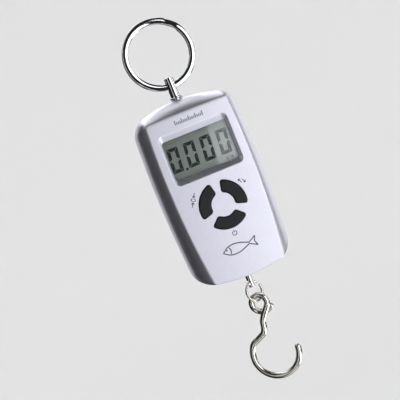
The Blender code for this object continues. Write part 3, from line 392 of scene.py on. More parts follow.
MATERIALS = {
    "paint": silver_paint(),
    "chrome": plated("chrome_plate", (0.86, 0.86, 0.87), 0.07),
    "nickel": plated("nickel_plate", (0.80, 0.775, 0.72), 0.17),
    "steel": turned_metal("zinc_steel", (0.62, 0.62, 0.63), 0.30),
    "aluminium": turned_metal("milled_aluminium", (0.72, 0.73, 0.74), 0.34),
    "brass": turned_metal("turned_brass", (0.76, 0.58, 0.26), 0.28),
    "key": ribbed_rubber(),
    "mat": moulded("mat_rubber", (0.42, 0.42, 0.43), 0.65),
    "strip": moulded("strip_rubber", (0.03, 0.03, 0.03), 0.60),
    "window": clear_window(),
    "display": display_glass(),
    "segment": display_ink(),
    "print": moulded("printed_ink", (0.035, 0.035, 0.04), 0.50),
    "white": moulded("white_plastic", (0.80, 0.80, 0.78), 0.42),
    "black": moulded("black_plastic", (0.02, 0.02, 0.021), 0.42, 0.35 * MM, 0.02 * MM),
    "board": circuit_board(),
    "resin": moulded("cast_resin", (0.012, 0.012, 0.012), 0.18, 2.5 * MM, 0.05 * MM),
    "foil": moulded("gauge_foil", (0.62, 0.40, 0.14), 0.32),
    "red": moulded("sleeve_red", (0.50, 0.02, 0.02), 0.40),
    "sleeve": moulded("sleeve_black", (0.015, 0.015, 0.015), 0.40),
    "grey": moulded("sleeve_grey", (0.35, 0.35, 0.36), 0.45),
    "wrap": battery_wrap(),
}


# ---- outlines


def conic(start, corner, end, t):
    """A point of the round corner between start and end, which lie the same distance from corner."""
    weight = math.sqrt(0.5)
    shares = ((1 - t) ** 2, 2 * weight * t * (1 - t), t * t)
    return (start * shares[0] + corner * shares[1] + end * shares[2]) / sum(shares)


def bend(start, corner, end, steps):
    start, corner, end = Vector(start), Vector(corner), Vector(end)
    return [conic(start, corner, end, i / steps) for i in range(steps + 1)]


def panel(half, z, radius):
    """A rounded rectangle about the height z, from its half width and half height."""
    points = []
    for sx, sz, clockwise in ((1, 1, False), (-1, 1, True), (-1, -1, False), (1, -1, True)):
        corner = (sx * half[0], z + sz * half[1])
        side = (corner[0], corner[1] - sz * radius)
        edge = (corner[0] - sx * radius, corner[1])
        start, end = (edge, side) if clockwise else (side, edge)
        points += bend(start, corner, end, 8)
    return points


def on_circle(centre, radius, angle):
    return Vector((centre[0] + radius * math.cos(angle), centre[1] + radius * math.sin(angle)))


def arc(centre, radius, start, end, steps):
    return [on_circle(centre, radius, start + (end - start) * i / steps) for i in range(steps + 1)]


def key_outline(direction, grow=0.0):
    """One arc-shaped key or, grown all round, the opening it moves in."""
    outer = KEY_OUTER_RADIUS + grow
    inner = KEY_INNER_RADIUS - grow
    corner = max(KEY_CORNER + grow, 0.25 * MM)
    half = KEY_HALF_SPAN + grow / KEY_MEAN_RADIUS
    centre = (0.0, KEYS_Z)

    def at(radius, angle):
        return on_circle(centre, radius, direction + angle)

    outer_half = half - corner / outer
    inner_half = half - corner / inner
    points = arc(centre, outer, direction - outer_half, direction + outer_half, 36)
    points += bend(points[-1], at(outer, half), at(outer - corner, half), 8)[1:]
    points += bend(at(inner + corner, half), at(inner, half), at(inner, inner_half), 8)
    points += arc(centre, inner, direction + inner_half, direction - inner_half, 24)[1:]
    points += bend(points[-1], at(inner, -half), at(inner + corner, -half), 8)[1:]
    points += bend(at(outer - corner, -half), at(outer, -half), at(outer, -outer_half), 8)[:-1]
    return points


class Outline:
    """The case's outline at one depth: bowed sides, arched ends and round corners.

    ends and bows give the height and the arch of the top and the bottom, halves the half width at
    the top, the middle and the bottom, and corners the radii at the top and the bottom.
    """

    def __init__(self, ends, halves, corners, bows):
        self.ends = ends
        self.halves = halves
        self.corners = corners
        self.bows = bows

    def inset(self, wall):
        top, bottom = self.ends
        halves = [half - wall for half in self.halves]
        corners = [max(corner - wall, 0.4 * MM) for corner in self.corners]
        return Outline([top - wall, bottom + wall], halves, corners, self.bows)

    def towards(self, other, share):
        pairs = (
            (self.ends, other.ends),
            (self.halves, other.halves),
            (self.corners, other.corners),
            (self.bows, other.bows),
        )
        return Outline(*[[a + (b - a) * share for a, b in zip(*pair)] for pair in pairs])

    def half_width(self, z):
        top, bottom = self.ends
        u = (top - z) / (top - bottom)
        high, middle, low = self.halves
        return (1 - u) * (1 - 2 * u) * high + 4 * u * (1 - u) * middle + u * (2 * u - 1) * low

    def end_z(self, x, end):
        """The height of the top, end 0, or of the bottom, end 1."""
        return self.ends[end] + self.bows[end] * x * x

    def corner_at(self, end):
        """Where a side would meet an end if the corner were sharp."""
        x = self.halves[2 * end]
        for _ in range(4):
            z = self.end_z(x, end)
            x = self.half_width(z)
        return x, z

    def points(self, along_end=28, along_side=32, round_corner=14):
        top_x, top_z = self.corner_at(0)
        bottom_x, bottom_z = self.corner_at(1)
        top_r, bottom_r = self.corners
        half_end = along_end // 2
        right = []
        for i in range(half_end):
            x = (top_x - top_r) * i / half_end
            right.append((x, self.end_z(x, 0)))
        start = (top_x - top_r, self.end_z(top_x - top_r, 0))
        end = (self.half_width(top_z - top_r), top_z - top_r)
        right += bend(start, (top_x, top_z), end, round_corner)
        low = bottom_z + bottom_r
        for i in range(1, along_side):
            z = end[1] + (low - end[1]) * i / along_side
            right.append((self.half_width(z), z))
        start = (self.half_width(low), low)
        end = (bottom_x - bottom_r, self.end_z(bottom_x - bottom_r, 1))
        right += bend(start, (bottom_x, bottom_z), end, round_corner)
        for i in range(1, half_end + 1):
            x = end[0] * (1 - i / half_end)
            right.append((x, self.end_z(x, 1)))
        return right + [(-x, z) for x, z in reversed(right[1:-1])]


BOWS = [-1 / (2 * TOP_ARC_RADIUS), 1 / (2 * BOTTOM_ARC_RADIUS)]
PARTING = Outline(
    [CASE_TOP_Z, CASE_BOTTOM_Z],
    in_mm(24.7, 26.0, 23.6),
    in_mm(6.5, 6.5),
    BOWS,
)
FRONT = Outline(
    [CASE_TOP_Z - 7.2 * MM, CASE_BOTTOM_Z + 0.4 * MM],
    in_mm(20.2, 20.9, 17.3),
    in_mm(0.8, 0.8),
    [0.0, BOWS[1]],
)
BACK = Outline(
    [CASE_TOP_Z - 3.0 * MM, CASE_BOTTOM_Z + 2.2 * MM],
    in_mm(21.9, 23.2, 20.8),
    in_mm(4.5, 4.5),
    BOWS,
)


# ---- mesh makers


def add_object(name, data):
    item = bpy.data.objects.new(name, data)
    bpy.context.scene.collection.objects.link(item)
    return item


def add_mesh(name, bm):
    mesh = bpy.data.meshes.new(name)
    bm.to_mesh(mesh)
    bm.free()
    return add_object(name, mesh)


def shade(piece, smooth_angle=40):
    piece.data.shade_smooth()
    piece.data.set_sharp_from_angle(angle=math.radians(smooth_angle))


def loft(name, rings, material=None, smooth_angle=40):
    """A closed body through rings of points that have the same count, with flat ends."""
    bm = bmesh.new()
    rows = [[bm.verts.new(point) for point in ring] for ring in rings]
    count = len(rows[0])
    for low, high in zip(rows, rows[1:]):
        for i in range(count):
            j = (i + 1) % count
            bm.faces.new((low[i], low[j], high[j], high[i]))
    bm.faces.new(rows[0])
    bm.faces.new(rows[-1])
    bmesh.ops.recalc_face_normals(bm, faces=bm.faces)
    piece = add_mesh(name, bm)
    if material:
        piece.data.materials.append(MATERIALS[material])
    shade(piece, smooth_angle)
    return piece


def at_depth(outline, y):
    return [Vector((x, y, z)) for x, z in outline]


def prism(name, outline, y_from, y_to, material=None):
    return loft(name, [at_depth(outline, y_from), at_depth(outline, y_to)], material)


def turned(name, profile, centre=(0.0, 0.0, 0.0), axis="Z", material=None, sides=64):
    """A body turned from (radius, distance along the axis) pairs, from one end to the other."""
    rings = []
    for radius, along in profile:
        ring = []
        for i in range(sides):
            a = math.tau * i / sides
            across = (radius * math.cos(a), radius * math.sin(a))
            offset = {
                "X": (along, *across),
                "Y": (across[1], along, across[0]),
                "Z": (*across, along),
            }[axis]
            ring.append(Vector(centre) + Vector(offset))
        rings.append(ring)
    return loft(name, rings, material)


def rod(name, radius, span, centre=(0.0, 0.0, 0.0), axis="Z", sides=48):
    return turned(name, [(radius, span[0]), (radius, span[1])], centre, axis, sides=sides)


def turned_bar(name, lengths, rounding):
    """A chromed bar of (radius, top, bottom) lengths, its corners rounded as far as fits."""
    centre = 0.05 * MM
    points = [Vector((centre, lengths[0][1]))]
    for radius, top, bottom in lengths:
        points += [Vector((radius, top)), Vector((radius, bottom))]
    points.append(Vector((centre, lengths[-1][2])))
    profile = [points[0]]
    for before, corner, after in zip(points, points[1:], points[2:]):
        back, on = before - corner, after - corner
        reach = min(rounding, back.length * 0.45, on.length * 0.45)
        profile += bend(corner + back.normalized() * reach, corner, corner + on.normalized() * reach, 5)
    return turned(name, [*profile, points[-1]], material="chrome")


def sweep(name, stations, section, material, scales=None):
    """Carries a section, in (side, up) pairs, along stations of (centre, side, up) vectors."""
    scales = scales or [1.0] * len(stations)
    rings = []
    for (centre, side, up), scale in zip(stations, scales):
        rings.append([centre + side * (u * scale) + up * (v * scale) for u, v in section])
    return loft(name, rings, material)


def crowned_section(width, height, sides):
    """A round wire or, where the height is less, a flattened one with softly crowned faces."""
    angles = [math.tau * i / sides for i in range(sides)]
    return [(width / 2 * math.cos(a), height / 2 * math.sin(a)) for a in angles]


def through(points, steps):
    """A smooth curve through points, by Catmull-Rom."""
    points = [Vector(point) for point in points]
    padded = [points[0] * 2 - points[1], *points, points[-1] * 2 - points[-2]]
    curve = [points[0]]
    for a, b, c, d in zip(padded, padded[1:], padded[2:], padded[3:]):
        for i in range(1, steps + 1):
            t = i / steps
            linear = (c - a) * t
            square = (a * 2 - b * 5 + c * 4 - d) * t**2
            cube = (b * 3 - a - c * 3 + d) * t**3
            curve.append((b * 2 + linear + square + cube) / 2)
    return curve


def merge(name, pieces):
    """Puts several separate bodies in one object."""
    bm = bmesh.new()
    for piece in pieces:
        bm.from_mesh(piece.data)
        bpy.data.objects.remove(piece)
    return add_mesh(name, bm)


def combine(target, tools, operation):
    """One exact Boolean with all the tools, which don't overlap each other."""
    tool = merge("tools", tools)
    modifier = target.modifiers.new("Combine", "BOOLEAN")
    modifier.operation = operation
    modifier.solver = "EXACT"
    modifier.object = tool
    apply_modifiers(target)
    bpy.data.objects.remove(tool)
    shade(target)


def apply_modifiers(target):
    bpy.context.view_layer.update()
    graph = bpy.context.evaluated_depsgraph_get()
    result = bpy.data.meshes.new_from_object(target.evaluated_get(graph))
    old = target.data
    name = old.name
    target.modifiers.clear()
    target.data = result
    bpy.data.meshes.remove(old)
    result.name = name


def weigh_normals(piece):
    """Keeps large flats flat where they run into small rounded edges."""
    modifier = piece.modifiers.new("Normals", "WEIGHTED_NORMAL")
    modifier.keep_sharp = True
    modifier.weight = 100
    apply_modifiers(piece)


def stands_for(piece, body, slot, *nodes):
    """Shows the piece in place of its CAD nodes, on their body; the slot is not used."""
    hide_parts(*nodes)
    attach(piece, body)


# ---- case


def front_edge(t):
    """How far in and how far forward the front's edge is at t of its way, as shares of the whole."""
    roll = ROLL_ANGLE * t
    return (1 - math.cos(roll)) / (1 - math.cos(ROLL_ANGLE)), math.sin(roll) / math.sin(ROLL_ANGLE)


def back_edge(t):
    """The same for the rear half, whose fuller edge runs smoothly into the flat back."""
    quarter = t * math.tau / 4
    power = 2 / BACK_FULLNESS
    return 1 - math.cos(quarter) ** power, math.sin(quarter) ** power


def half_layers(face, direction, wall, nearest, steps):
    """Rings of one half of the case from the parting plane to its face, a wall's thickness inside."""
    edge = front_edge if face is FRONT else back_edge
    depth = HALF_DEPTH - wall
    layers = []
    for i in range(steps + 1):
        share, forward = edge(i / steps)
        y = max(depth * forward, nearest)
        outline = PARTING.towards(face, share)
        if wall:
            outline = outline.inset(wall)
        layers.append(at_depth(outline.points(), direction * y))
    return layers


def outer_layers(face, direction, steps=24):
    """The outside of one half, with its parting edge broken and its face edge rounded."""
    layers = half_layers(face, direction, 0.0, GAP / 2, steps)
    edge = at_depth(PARTING.inset(0.12 * MM).points(), direction * GAP / 2)
    layers[0] = at_depth(PARTING.points(), direction * (GAP / 2 + 0.12 * MM))
    inset = face.inset(FACE_FILLET)
    inset.ends[0] = face.ends[0] - TOP_FILLET
    inner = at_depth(inset.points(), direction * HALF_DEPTH)
    corner = layers.pop()
    start = layers[-1]
    rounding = [
        [conic(a, b, c, t) for a, b, c in zip(start, corner, inner)] for t in (0.2, 0.4, 0.6, 0.8, 1.0)
    ]
    return [edge, *layers, *rounding]


def half_shell(name, face, direction):
    inside = half_layers(face, direction, WALL, GAP / 2, 12)
    return loft(name, [*reversed(inside), *outer_layers(face, direction)], "paint")


def rimmed_cutter(outline_at, fillet, bottoms):
    """A cutter going in from the front face, flared there so that the rim it leaves is rounded.

    outline_at(grow) gives its outline at the face, and bottoms its rings further in, in order.
    """
    lip = at_depth(outline_at(fillet), -HALF_DEPTH)
    corner = at_depth(outline_at(0.0), -HALF_DEPTH)
    share = fillet / (bottoms[0][0].y + HALF_DEPTH)
    wall = [a.lerp(b, share) for a, b in zip(corner, bottoms[0])]
    rings = [at_depth(outline_at(fillet), -HALF_DEPTH - 1 * MM)]
    for i in range(7):
        rings.append([conic(a, b, c, i / 6) for a, b, c in zip(lip, corner, wall)])
    return loft("cutter", rings + bottoms)


def display_cutter():
    """The sloped recess round the display and the opening at its bottom."""

    def recess(grow):
        half = (RECESS_HALF[0] + grow, RECESS_HALF[1] + grow)
        return panel(half, DISPLAY_Z + RECESS_LIFT, 2.6 * MM + grow)

    opening = panel(OPENING_HALF, DISPLAY_Z, 1.3 * MM)
    depths = (-INSIDE_Y - 0.25 * MM, -INSIDE_Y + 1 * MM)
    return rimmed_cutter(recess, RIM_FILLET, [at_depth(opening, y) for y in depths])


def end_holes():
    """Cutters for the hole of the post in the top and of the draw bar in the bottom."""
    top = (CASE_TOP_Z - 6 * MM, CASE_TOP_Z + 2 * MM)
    bottom = (CASE_BOTTOM_Z - 2 * MM, CASE_BOTTOM_Z + 3 * MM)
    return [rod("post_hole", 2.5 * MM, top), rod("bar_hole", 1.9 * MM, bottom)]


def key_cutter(direction):
    angle = math.radians(direction)

    def opening(grow):
        return key_outline(angle, GAP + grow)

    return rimmed_cutter(opening, 0.22 * MM, [at_depth(opening(0.0), 1 * MM - INSIDE_Y)])


def make_front_shell():
    shell = half_shell("front_cover", FRONT, -1)
    root = -INSIDE_Y - 0.5 * MM
    # Where each kind of post stands, its radius, its bore's, its end and the floor of its bore
    posts = [
        (UPPER_SCREW, 2.3 * MM, 1.3 * MM, -GAP, -7.5 * MM),
        (LOWER_SCREW, 2.0 * MM, 1.3 * MM, 2.7 * MM, -7.5 * MM),
    ]
    posts += [(place, 1.7 * MM, 1.0 * MM, -5.1 * MM, root) for place in BOARD_SCREWS]
    bosses = []
    bores = []
    for (x, z), radius, bore, end_y, floor_y in posts:
        for place in ((-x, 0, z), (x, 0, z)):
            bosses.append(rod("boss", radius, (root, end_y), place, "Y", 32))
            bores.append(rod("bore", bore, (floor_y, end_y + 1 * MM), place, "Y", 32))
    combine(shell, bosses, "UNION")
    cutters = [display_cutter(), *end_holes(), *bores]
    cutters += [key_cutter(direction) for direction in KEY_DIRECTIONS.values()]
    combine(shell, cutters, "DIFFERENCE")
    weigh_normals(shell)
    stands_for(shell, "case", "silver_paint", "front_shell")


def door_slot(grow):
    """The dovetail prism of the battery door or, grown, the slot it slides in; open at the bottom."""
    outer = DOOR_HALF_WIDTH + grow
    inner = outer + DOVETAIL
    floor = DOOR_INSIDE_Y - grow
    back = HALF_DEPTH + 1 * MM
    slope = DOVETAIL / (HALF_DEPTH - DOOR_INSIDE_Y)
    past = outer - slope * (back - HALF_DEPTH)
    section = [(-inner, floor), (inner, floor), (past, back), (-past, back)]
    rings = []
    for z in (CASE_BOTTOM_Z - 3 * MM, DOOR_TOP_Z + grow):
        rings.append([Vector((x, y, z)) for x, y in section])
    return loft("door_slot", rings)


def make_rear_shell():
    shell = half_shell("rear_cover", BACK, 1)
    past = HALF_DEPTH + 1 * MM
    bosses = []
    wells = []
    for sign in (-1, 1):
        centre = (sign * UPPER_SCREW[0], 0, UPPER_SCREW[1])
        bosses.append(rod("boss", 3.2 * MM, (GAP, INSIDE_Y + 0.5 * MM), centre, "Y"))
        profile = [
            (1.3 * MM, -1 * MM),
            (1.3 * MM, 8.3 * MM),
            (2.4 * MM, 8.3 * MM),
            (2.4 * MM, HALF_DEPTH - 0.25 * MM),
            (2.65 * MM, HALF_DEPTH),
            (2.65 * MM, past),
        ]
        wells.append(turned("well", profile, centre, "Y"))
    combine(shell, bosses, "UNION")
    combine(shell, [door_slot(GAP)], "DIFFERENCE")
    x, low, high = DOOR_HALF_WIDTH, -120.2 * MM, DOOR_TOP_Z - 1.6 * MM
    opening = prism("well", [(-x, low), (x, low), (x, high), (-x, high)], 6.3 * MM, past)
    combine(shell, [opening, *wells, *end_holes()], "DIFFERENCE")
    weigh_normals(shell)
    stands_for(shell, "case", "silver_paint", "rear_shell")


def make_battery_door():
    door = loft("battery_cover", outer_layers(BACK, 1), "paint")
    combine(door, [door_slot(0.0)], "INTERSECT")
    past_back = 0.2 * MM
    grooves = []
    for i in range(5):
        z = DOOR_TOP_Z - (5.0 + 1.6 * i) * MM
        rings = []
        for grow, depth in ((0.0, 0.45 * MM), (0.1 * MM, 0.2 * MM), (0.35 * MM, -past_back)):
            half = 0.25 * MM + grow
            groove = panel((6.3 * MM + grow, half), z, 0.24 * MM + grow)
            rings.append(at_depth(groove, HALF_DEPTH - depth))
        grooves.append(loft("groove", rings))
    tip = DOOR_TOP_Z - 17.5 * MM
    arrow = [(-2.6 * MM, tip + 3.2 * MM), (2.6 * MM, tip + 3.2 * MM), (0.0, tip)]
    grooves.append(prism("arrow", arrow, HALF_DEPTH - 0.3 * MM, HALF_DEPTH + past_back))
    combine(door, grooves, "DIFFERENCE")
    weigh_normals(door)
    stands_for(door, "battery_door", "silver_paint", "battery_door")


# ---- display


def nought_segments():
    """Outlines of a nought's six mitred bars, measured from its lower left corner."""
    w, h, s = DIGIT_WIDTH, DIGIT_HEIGHT, DIGIT_STROKE
    g, split = 0.1 * MM, 0.3 * MM
    middle = h / 2
    top = [(g, h), (w - g, h), (w - g - s, h - s), (g + s, h - s)]
    bottom = [(g, 0), (g + s, s), (w - g - s, s), (w - g, 0)]
    upper_left = [
        (0, h - g),
        (s, h - g - s),
        (s, middle + split + s * 0.55),
        (s * 0.4, middle + split),
        (0, middle + split + g),
    ]
    upper_right = [(w - x, z) for x, z in reversed(upper_left)]
    lower_left = [(x, h - z) for x, z in reversed(upper_left)]
    lower_right = [(w - x, h - z) for x, z in upper_left]
    return [top, upper_right, lower_right, bottom, lower_left, upper_left]


def slanted(points, x, z):
    return [(x + px + pz * DIGIT_SLANT, z + pz) for px, pz in points]


def strip_outline(points, width):
    """A stroke of constant width along a polyline, as one outline."""
    points = [Vector(point) for point in points]
    left = []
    right = []
    for i, point in enumerate(points):
        ahead = (points[min(i + 1, len(points) - 1)] - points[max(i - 1, 0)]).normalized()
        side = Vector((-ahead.y, ahead.x)) * (width / 2)
        left.append(point + side)
        right.append(point - side)
    return left + right[::-1]


def ring_strokes(centre, radius, start, end, width, steps=24):
    return strip_outline(arc(centre, radius, math.radians(start), math.radians(end), steps), width)


def moved(outlines, x, z):
    return [[(x + dx, z + dz) for dx, dz in outline] for outline in outlines]


def flat_marks(name, outlines, y_from, y_to, material):
    """Thin bodies of ink or liquid crystal, one for each outline."""
    marks = merge(name, [prism("mark", outline, y_from, y_to) for outline in outlines])
    marks.data.materials.append(MATERIALS[material])
    marks.data.shade_flat()
    return marks


def unit_mark():
    """The letters k and g, as the display draws them, from the lower left corner of the k."""
    width = 0.3 * MM
    lines = (
        in_mm((0, 0), (0, 2.2)),
        in_mm((1.2, 1.5), (0.1, 0.7)),
        in_mm((0.4, 0.9), (1.25, 0)),
        in_mm((3.02, 1.45), (3.02, -0.3), (2.4, -0.75), (1.9, -0.6)),
    )
    bowl = ring_strokes(in_mm(2.4, 0.75), 0.6 * MM, 0, 350, width)
    return [strip_outline(line, width) for line in lines] + [bowl]


def make_display():
    window = prism("display_pane", panel(WINDOW_HALF, DISPLAY_Z, 0.8 * MM), *WINDOW_Y, "window")
    stands_for(window, "case", "clear_plastic", "display_window")
    front, rear = GLASS_Y
    rings = []
    for inset, y in ((0.15 * MM, front), (0.0, front + 0.15 * MM), (0.0, rear)):
        half = [side - inset for side in GLASS_HALF]
        rings.append(at_depth(panel(half, DISPLAY_Z, 0.3 * MM), y))
    glass = loft("display_plate", rings, "display")
    stands_for(glass, "case", "display_green", "lcd_glass")
    base = DISPLAY_Z - DIGIT_HEIGHT / 2
    outlines = []
    for place in range(4):
        centre = FIRST_DIGIT_X + place * DIGIT_PITCH
        x = centre - DIGIT_WIDTH / 2 - DIGIT_HEIGHT / 2 * DIGIT_SLANT
        outlines += [slanted(bar, x, base) for bar in nought_segments()]
    outlines += moved([panel(in_mm(0.55, 0.55), base + 0.1 * MM, 0.2 * MM)], POINT_X, 0.0)
    outlines += moved(unit_mark(), 10.2 * MM, DISPLAY_Z - 8.9 * MM)
    digits = flat_marks("display_digits", outlines, front - 0.03 * MM, front - 0.01 * MM, "segment")
    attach(digits, "case")


# ---- keys and printing


def make_key(name, direction):
    """A softly crowned rubber key with a rounded edge and its skirt behind the face."""
    angle = math.radians(direction)
    front = -HALF_DEPTH - KEY_PROUD
    rings = []
    crown = ((0.65, 0.0), (0.4, 0.02), (0.22, 0.08), (0.1, 0.17), (0.03, 0.28), (0.0, 0.42))
    for shrink, drop in crown:
        rings.append(at_depth(key_outline(angle, -shrink * MM), front + drop * MM))
    skirt_y = -INSIDE_Y + GAP
    for grow, y in ((0.0, 0.0), (SKIRT_WIDTH, 0.0), (SKIRT_WIDTH, SKIRT_DEPTH)):
        rings.append(at_depth(key_outline(angle, grow), skirt_y + y))
    key = loft(name + "_cap", rings, "key", 50)
    weigh_normals(key)
    stands_for(key, name, "grey_rubber", name)


def placed_marks(outlines, direction):
    """Moves marks drawn about the origin outside a key, turned along its rim, none upside down."""
    a = math.radians(direction)
    centre = on_circle((0.0, KEYS_Z), MARK_RADIUS, a)
    upright = a - math.pi / 2 if direction < 180 else a + math.pi / 2
    c, s = math.cos(upright), math.sin(upright)

    def placed(x, z):
        return centre.x + x * c - z * s, centre.y + x * s + z * c

    return [[placed(x, z) for x, z in outline] for outline in outlines]


def power_mark():
    radius = 1.05 * MM
    return [
        ring_strokes((0.0, 0.0), radius, 125, 415, MARK_STROKE),
        strip_outline([(0.0, 0.2 * MM), (0.0, 1.5 * MM)], MARK_STROKE),
    ]


def arrow_mark(x, z, pointing):
    """A small arrow along X, its tip towards pointing."""
    tail = (x - pointing * 1.1 * MM, z)
    tip = (x + pointing * 1.1 * MM, z)
    barbs = [(tip[0] - pointing * 0.65 * MM, z + dz) for dz in (0.65 * MM, -0.65 * MM)]
    return [strip_outline([start, tip], MARK_STROKE) for start in (tail, *barbs)]


def tare_mark():
    """A nought between two arrows, the usual sign for setting to zero."""
    nought = [(x * 0.7, z) for x, z in ring_strokes((0.0, 0.0), 1.0 * MM, 0, 355, MARK_STROKE)]
    return [nought, *arrow_mark(-2.3 * MM, 0.0, 1), *arrow_mark(2.3 * MM, 0.0, -1)]


def unit_change_mark():
    """Two opposed arrows, for changing over."""
    return arrow_mark(0.6 * MM, 0.62 * MM, 1) + arrow_mark(-0.6 * MM, -0.62 * MM, -1)


def graduation_marks():
    """A short scale of fine lines above the display."""
    outlines = []
    for i in range(-8, 9):
        height = (2.2 if i % 4 == 0 else 1.3) * MM
        x = i * 0.85 * MM
        outlines.append(strip_outline([(x, 0), (x, height)], 0.42 * MM))
    return outlines


def fish_mark():
    """A plain fish outline, drawn for this part."""
    back = in_mm((-8.6, 0), (-5.4, 2.0), (-0.8, 2.2), (4.6, 0.3))
    belly = [(x, -z) for x, z in back]
    tail = in_mm((4.6, 0.3), (8.2, 2.3), (7.2, 0), (8.2, -2.3), (4.6, -0.3))
    gill = arc(in_mm(-7.0, 0), 2.3 * MM, math.radians(-42), math.radians(42), 10)
    eye = arc(in_mm(-6.6, 0.55), 0.38 * MM, 0, math.tau * 15 / 16, 15)
    lines = [through(back, 10), through(belly, 10), gill]
    lines += [tail[i : i + 2] for i in range(4)]
    return [strip_outline(line, 0.5 * MM) for line in lines] + [eye]


def make_printing():
    signs = {"key_unit": unit_change_mark(), "key_tare": tare_mark(), "key_power": power_mark()}
    outlines = []
    for name, sign in signs.items():
        outlines += placed_marks(sign, KEY_DIRECTIONS[name])
    outlines += moved(graduation_marks(), 0.0, SCALE_Z) + moved(fish_mark(), 0.0, FISH_Z)
    depths = (-HALF_DEPTH - INK_DEPTH, -HALF_DEPTH + INK_DEPTH)
    printing = flat_marks("printed_marks", outlines, *depths, "print")
    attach(printing, "case")


# ---- metal


def double_turn(name, mean_radius, band, turn, azimuth, centre, material, steps):
    """Flattened wire wound twice in one plane, stepping from one layer to the other in between."""
    turn_gap = 0.06 * MM
    first_end = math.radians(60)
    step = math.radians(24)
    end_gap = 0.35 * MM / mean_radius
    total = 2 * math.tau - step - 2 * end_gap
    layer = (turn + turn_gap) / 2
    along = Vector((math.cos(azimuth), math.sin(azimuth), 0))
    normal = Vector((-math.sin(azimuth), math.cos(azimuth), 0))
    stations = []
    for i in range(steps + 1):
        turned_by = total * i / steps
        share = min(max((turned_by - math.tau + step + end_gap) / step, 0.0), 1.0)
        depth = layer * (2 * share * share * (3 - 2 * share) - 1)
        a = first_end + turned_by
        radial = along * math.cos(a) + Vector((0, 0, math.sin(a)))
        stations.append((Vector(centre) + radial * mean_radius + normal * depth, radial, normal))
    return sweep(name, stations, crowned_section(band, turn, 36), material)


def make_rings():
    band, turn = in_mm(3.0, 1.2)
    ring = double_turn("split_ring_wire", RING_RADIUS, band, turn, 0.0, RING_CENTRE, "chrome", 420)
    stands_for(ring, "ring", "chrome", "split_ring")
    band, turn = in_mm(1.0, 0.65)
    link = double_turn("link_wire", LINK_RADIUS, band, turn, LINK_AZIMUTH, LINK_CENTRE, "nickel", 260)
    stands_for(link, "link", "nickel", "link_ring")


def make_post():
    """The hanger post, seen through the ring: a pin with a flange on the case's top."""
    flange_z = CASE_TOP_Z + GAP
    flange_top = flange_z + 0.8 * MM
    lengths = [
        (2.45 * MM, -26.4 * MM, flange_top),
        (3.1 * MM, flange_top, flange_z),
        (2.2 * MM, flange_z, -56.4 * MM),
        (1.75 * MM, -56.4 * MM, -65.1 * MM),
    ]
    post = turned_bar("hanger_pin", lengths, 0.3 * MM)
    hole = rod("ring_hole", 1.95 * MM, (-5 * MM, 5 * MM), (0, 0, RING_HOLE_Z), "X")
    combine(post, [hole], "DIFFERENCE")
    weigh_normals(post)
    stands_for(post, "case", "chrome", "hanger_post")


def make_draw_bar():
    """The bar that hangs from the load cell, its end drilled for the link."""
    lengths = in_mm((1.75, -88.9, -97.6), (2.2, -97.6, -123.6), (1.6, -124.2, -133.2))
    bar = turned_bar("draw_pin", lengths, 0.35 * MM)
    hole = rod("link_hole", 1.15 * MM, (-4 * MM, 4 * MM), axis="X", sides=40)
    hole.data.transform(Matrix.Rotation(LINK_AZIMUTH, 4, "Z"))
    hole.data.transform(Matrix.Translation((0, 0, LINK_HOLE_Z)))
    combine(bar, [hole], "DIFFERENCE")
    weigh_normals(bar)
    stands_for(bar, "case", "chrome", "draw_bar")


def eye_point(angle):
    """A point of the eye's wire: across, up and behind, from the eye's centre."""
    start, end = EYE_CROSSING
    share = min(max((angle - start) / (end - start), 0.0), 1.0)
    share *= share * (3 - 2 * share)
    across, up = on_circle((0.0, 0.0), EYE_RADIUS + EYE_FLARE * share, angle)
    return Vector((across, up, EYE_BEHIND * share))


def hook_path(eye_steps=120, bowl_steps=100, steps=12):
    """The wire's centre line, from the end curled into the eye to the open tip."""
    turn = (EYE_ENDS[1] - EYE_ENDS[0]) / eye_steps
    eye = [eye_point(EYE_ENDS[0] + turn * i) for i in range(eye_steps + 1)]
    joint = BOWL_ENDS[0] + BOWL_LEAD
    bowl = arc(BOWL_CENTRE, BOWL_RADIUS, joint, BOWL_ENDS[1], bowl_steps)
    lead_in = on_circle((0.0, 0.0), EYE_RADIUS, SHANK_LEAD)
    lead_out = [on_circle(BOWL_CENTRE, BOWL_RADIUS, joint + BOWL_LEAD * i) for i in (-1, 0, 1)]
    shank = through([lead_in, eye[-1].xy, *SHANK_POINTS, *lead_out], steps)
    flat = shank[steps + 1 : -steps] + bowl[1:]
    return eye + [Vector((*point, 0.0)) for point in flat]


def make_hook():
    across = Vector((math.cos(HOOK_AZIMUTH), math.sin(HOOK_AZIMUTH), 0))
    behind = Vector((-math.sin(HOOK_AZIMUTH), math.cos(HOOK_AZIMUTH), 0))
    centre = Vector((0, 0, EYE_CENTRE_Z))
    path = [centre + across * x + Vector((0, 0, z)) + behind * y for x, z, y in hook_path()]
    stations = []
    for before, point, after in zip([path[0], *path], path, [*path[1:], path[-1]]):
        ahead = (after - before).normalized()
        side = ahead.cross(behind).normalized()
        stations.append((point, side, side.cross(ahead)))
    scales = [0.9] + [1.0] * (len(stations) - 1)
    tip, side, up = stations[-1]
    for i in range(1, 9):
        a = math.radians(10 * i)
        stations.append((tip + ahead * HOOK_WIRE_RADIUS * math.sin(a), side, up))
        scales.append(math.cos(a))
    section = crowned_section(2 * HOOK_WIRE_RADIUS, 2 * HOOK_WIRE_RADIUS, 32)
    hook = sweep("hook_wire", stations, section, "nickel", scales)
    stands_for(hook, "hook", "nickel", "hook")


# ---- pieces that keep their CAD shape


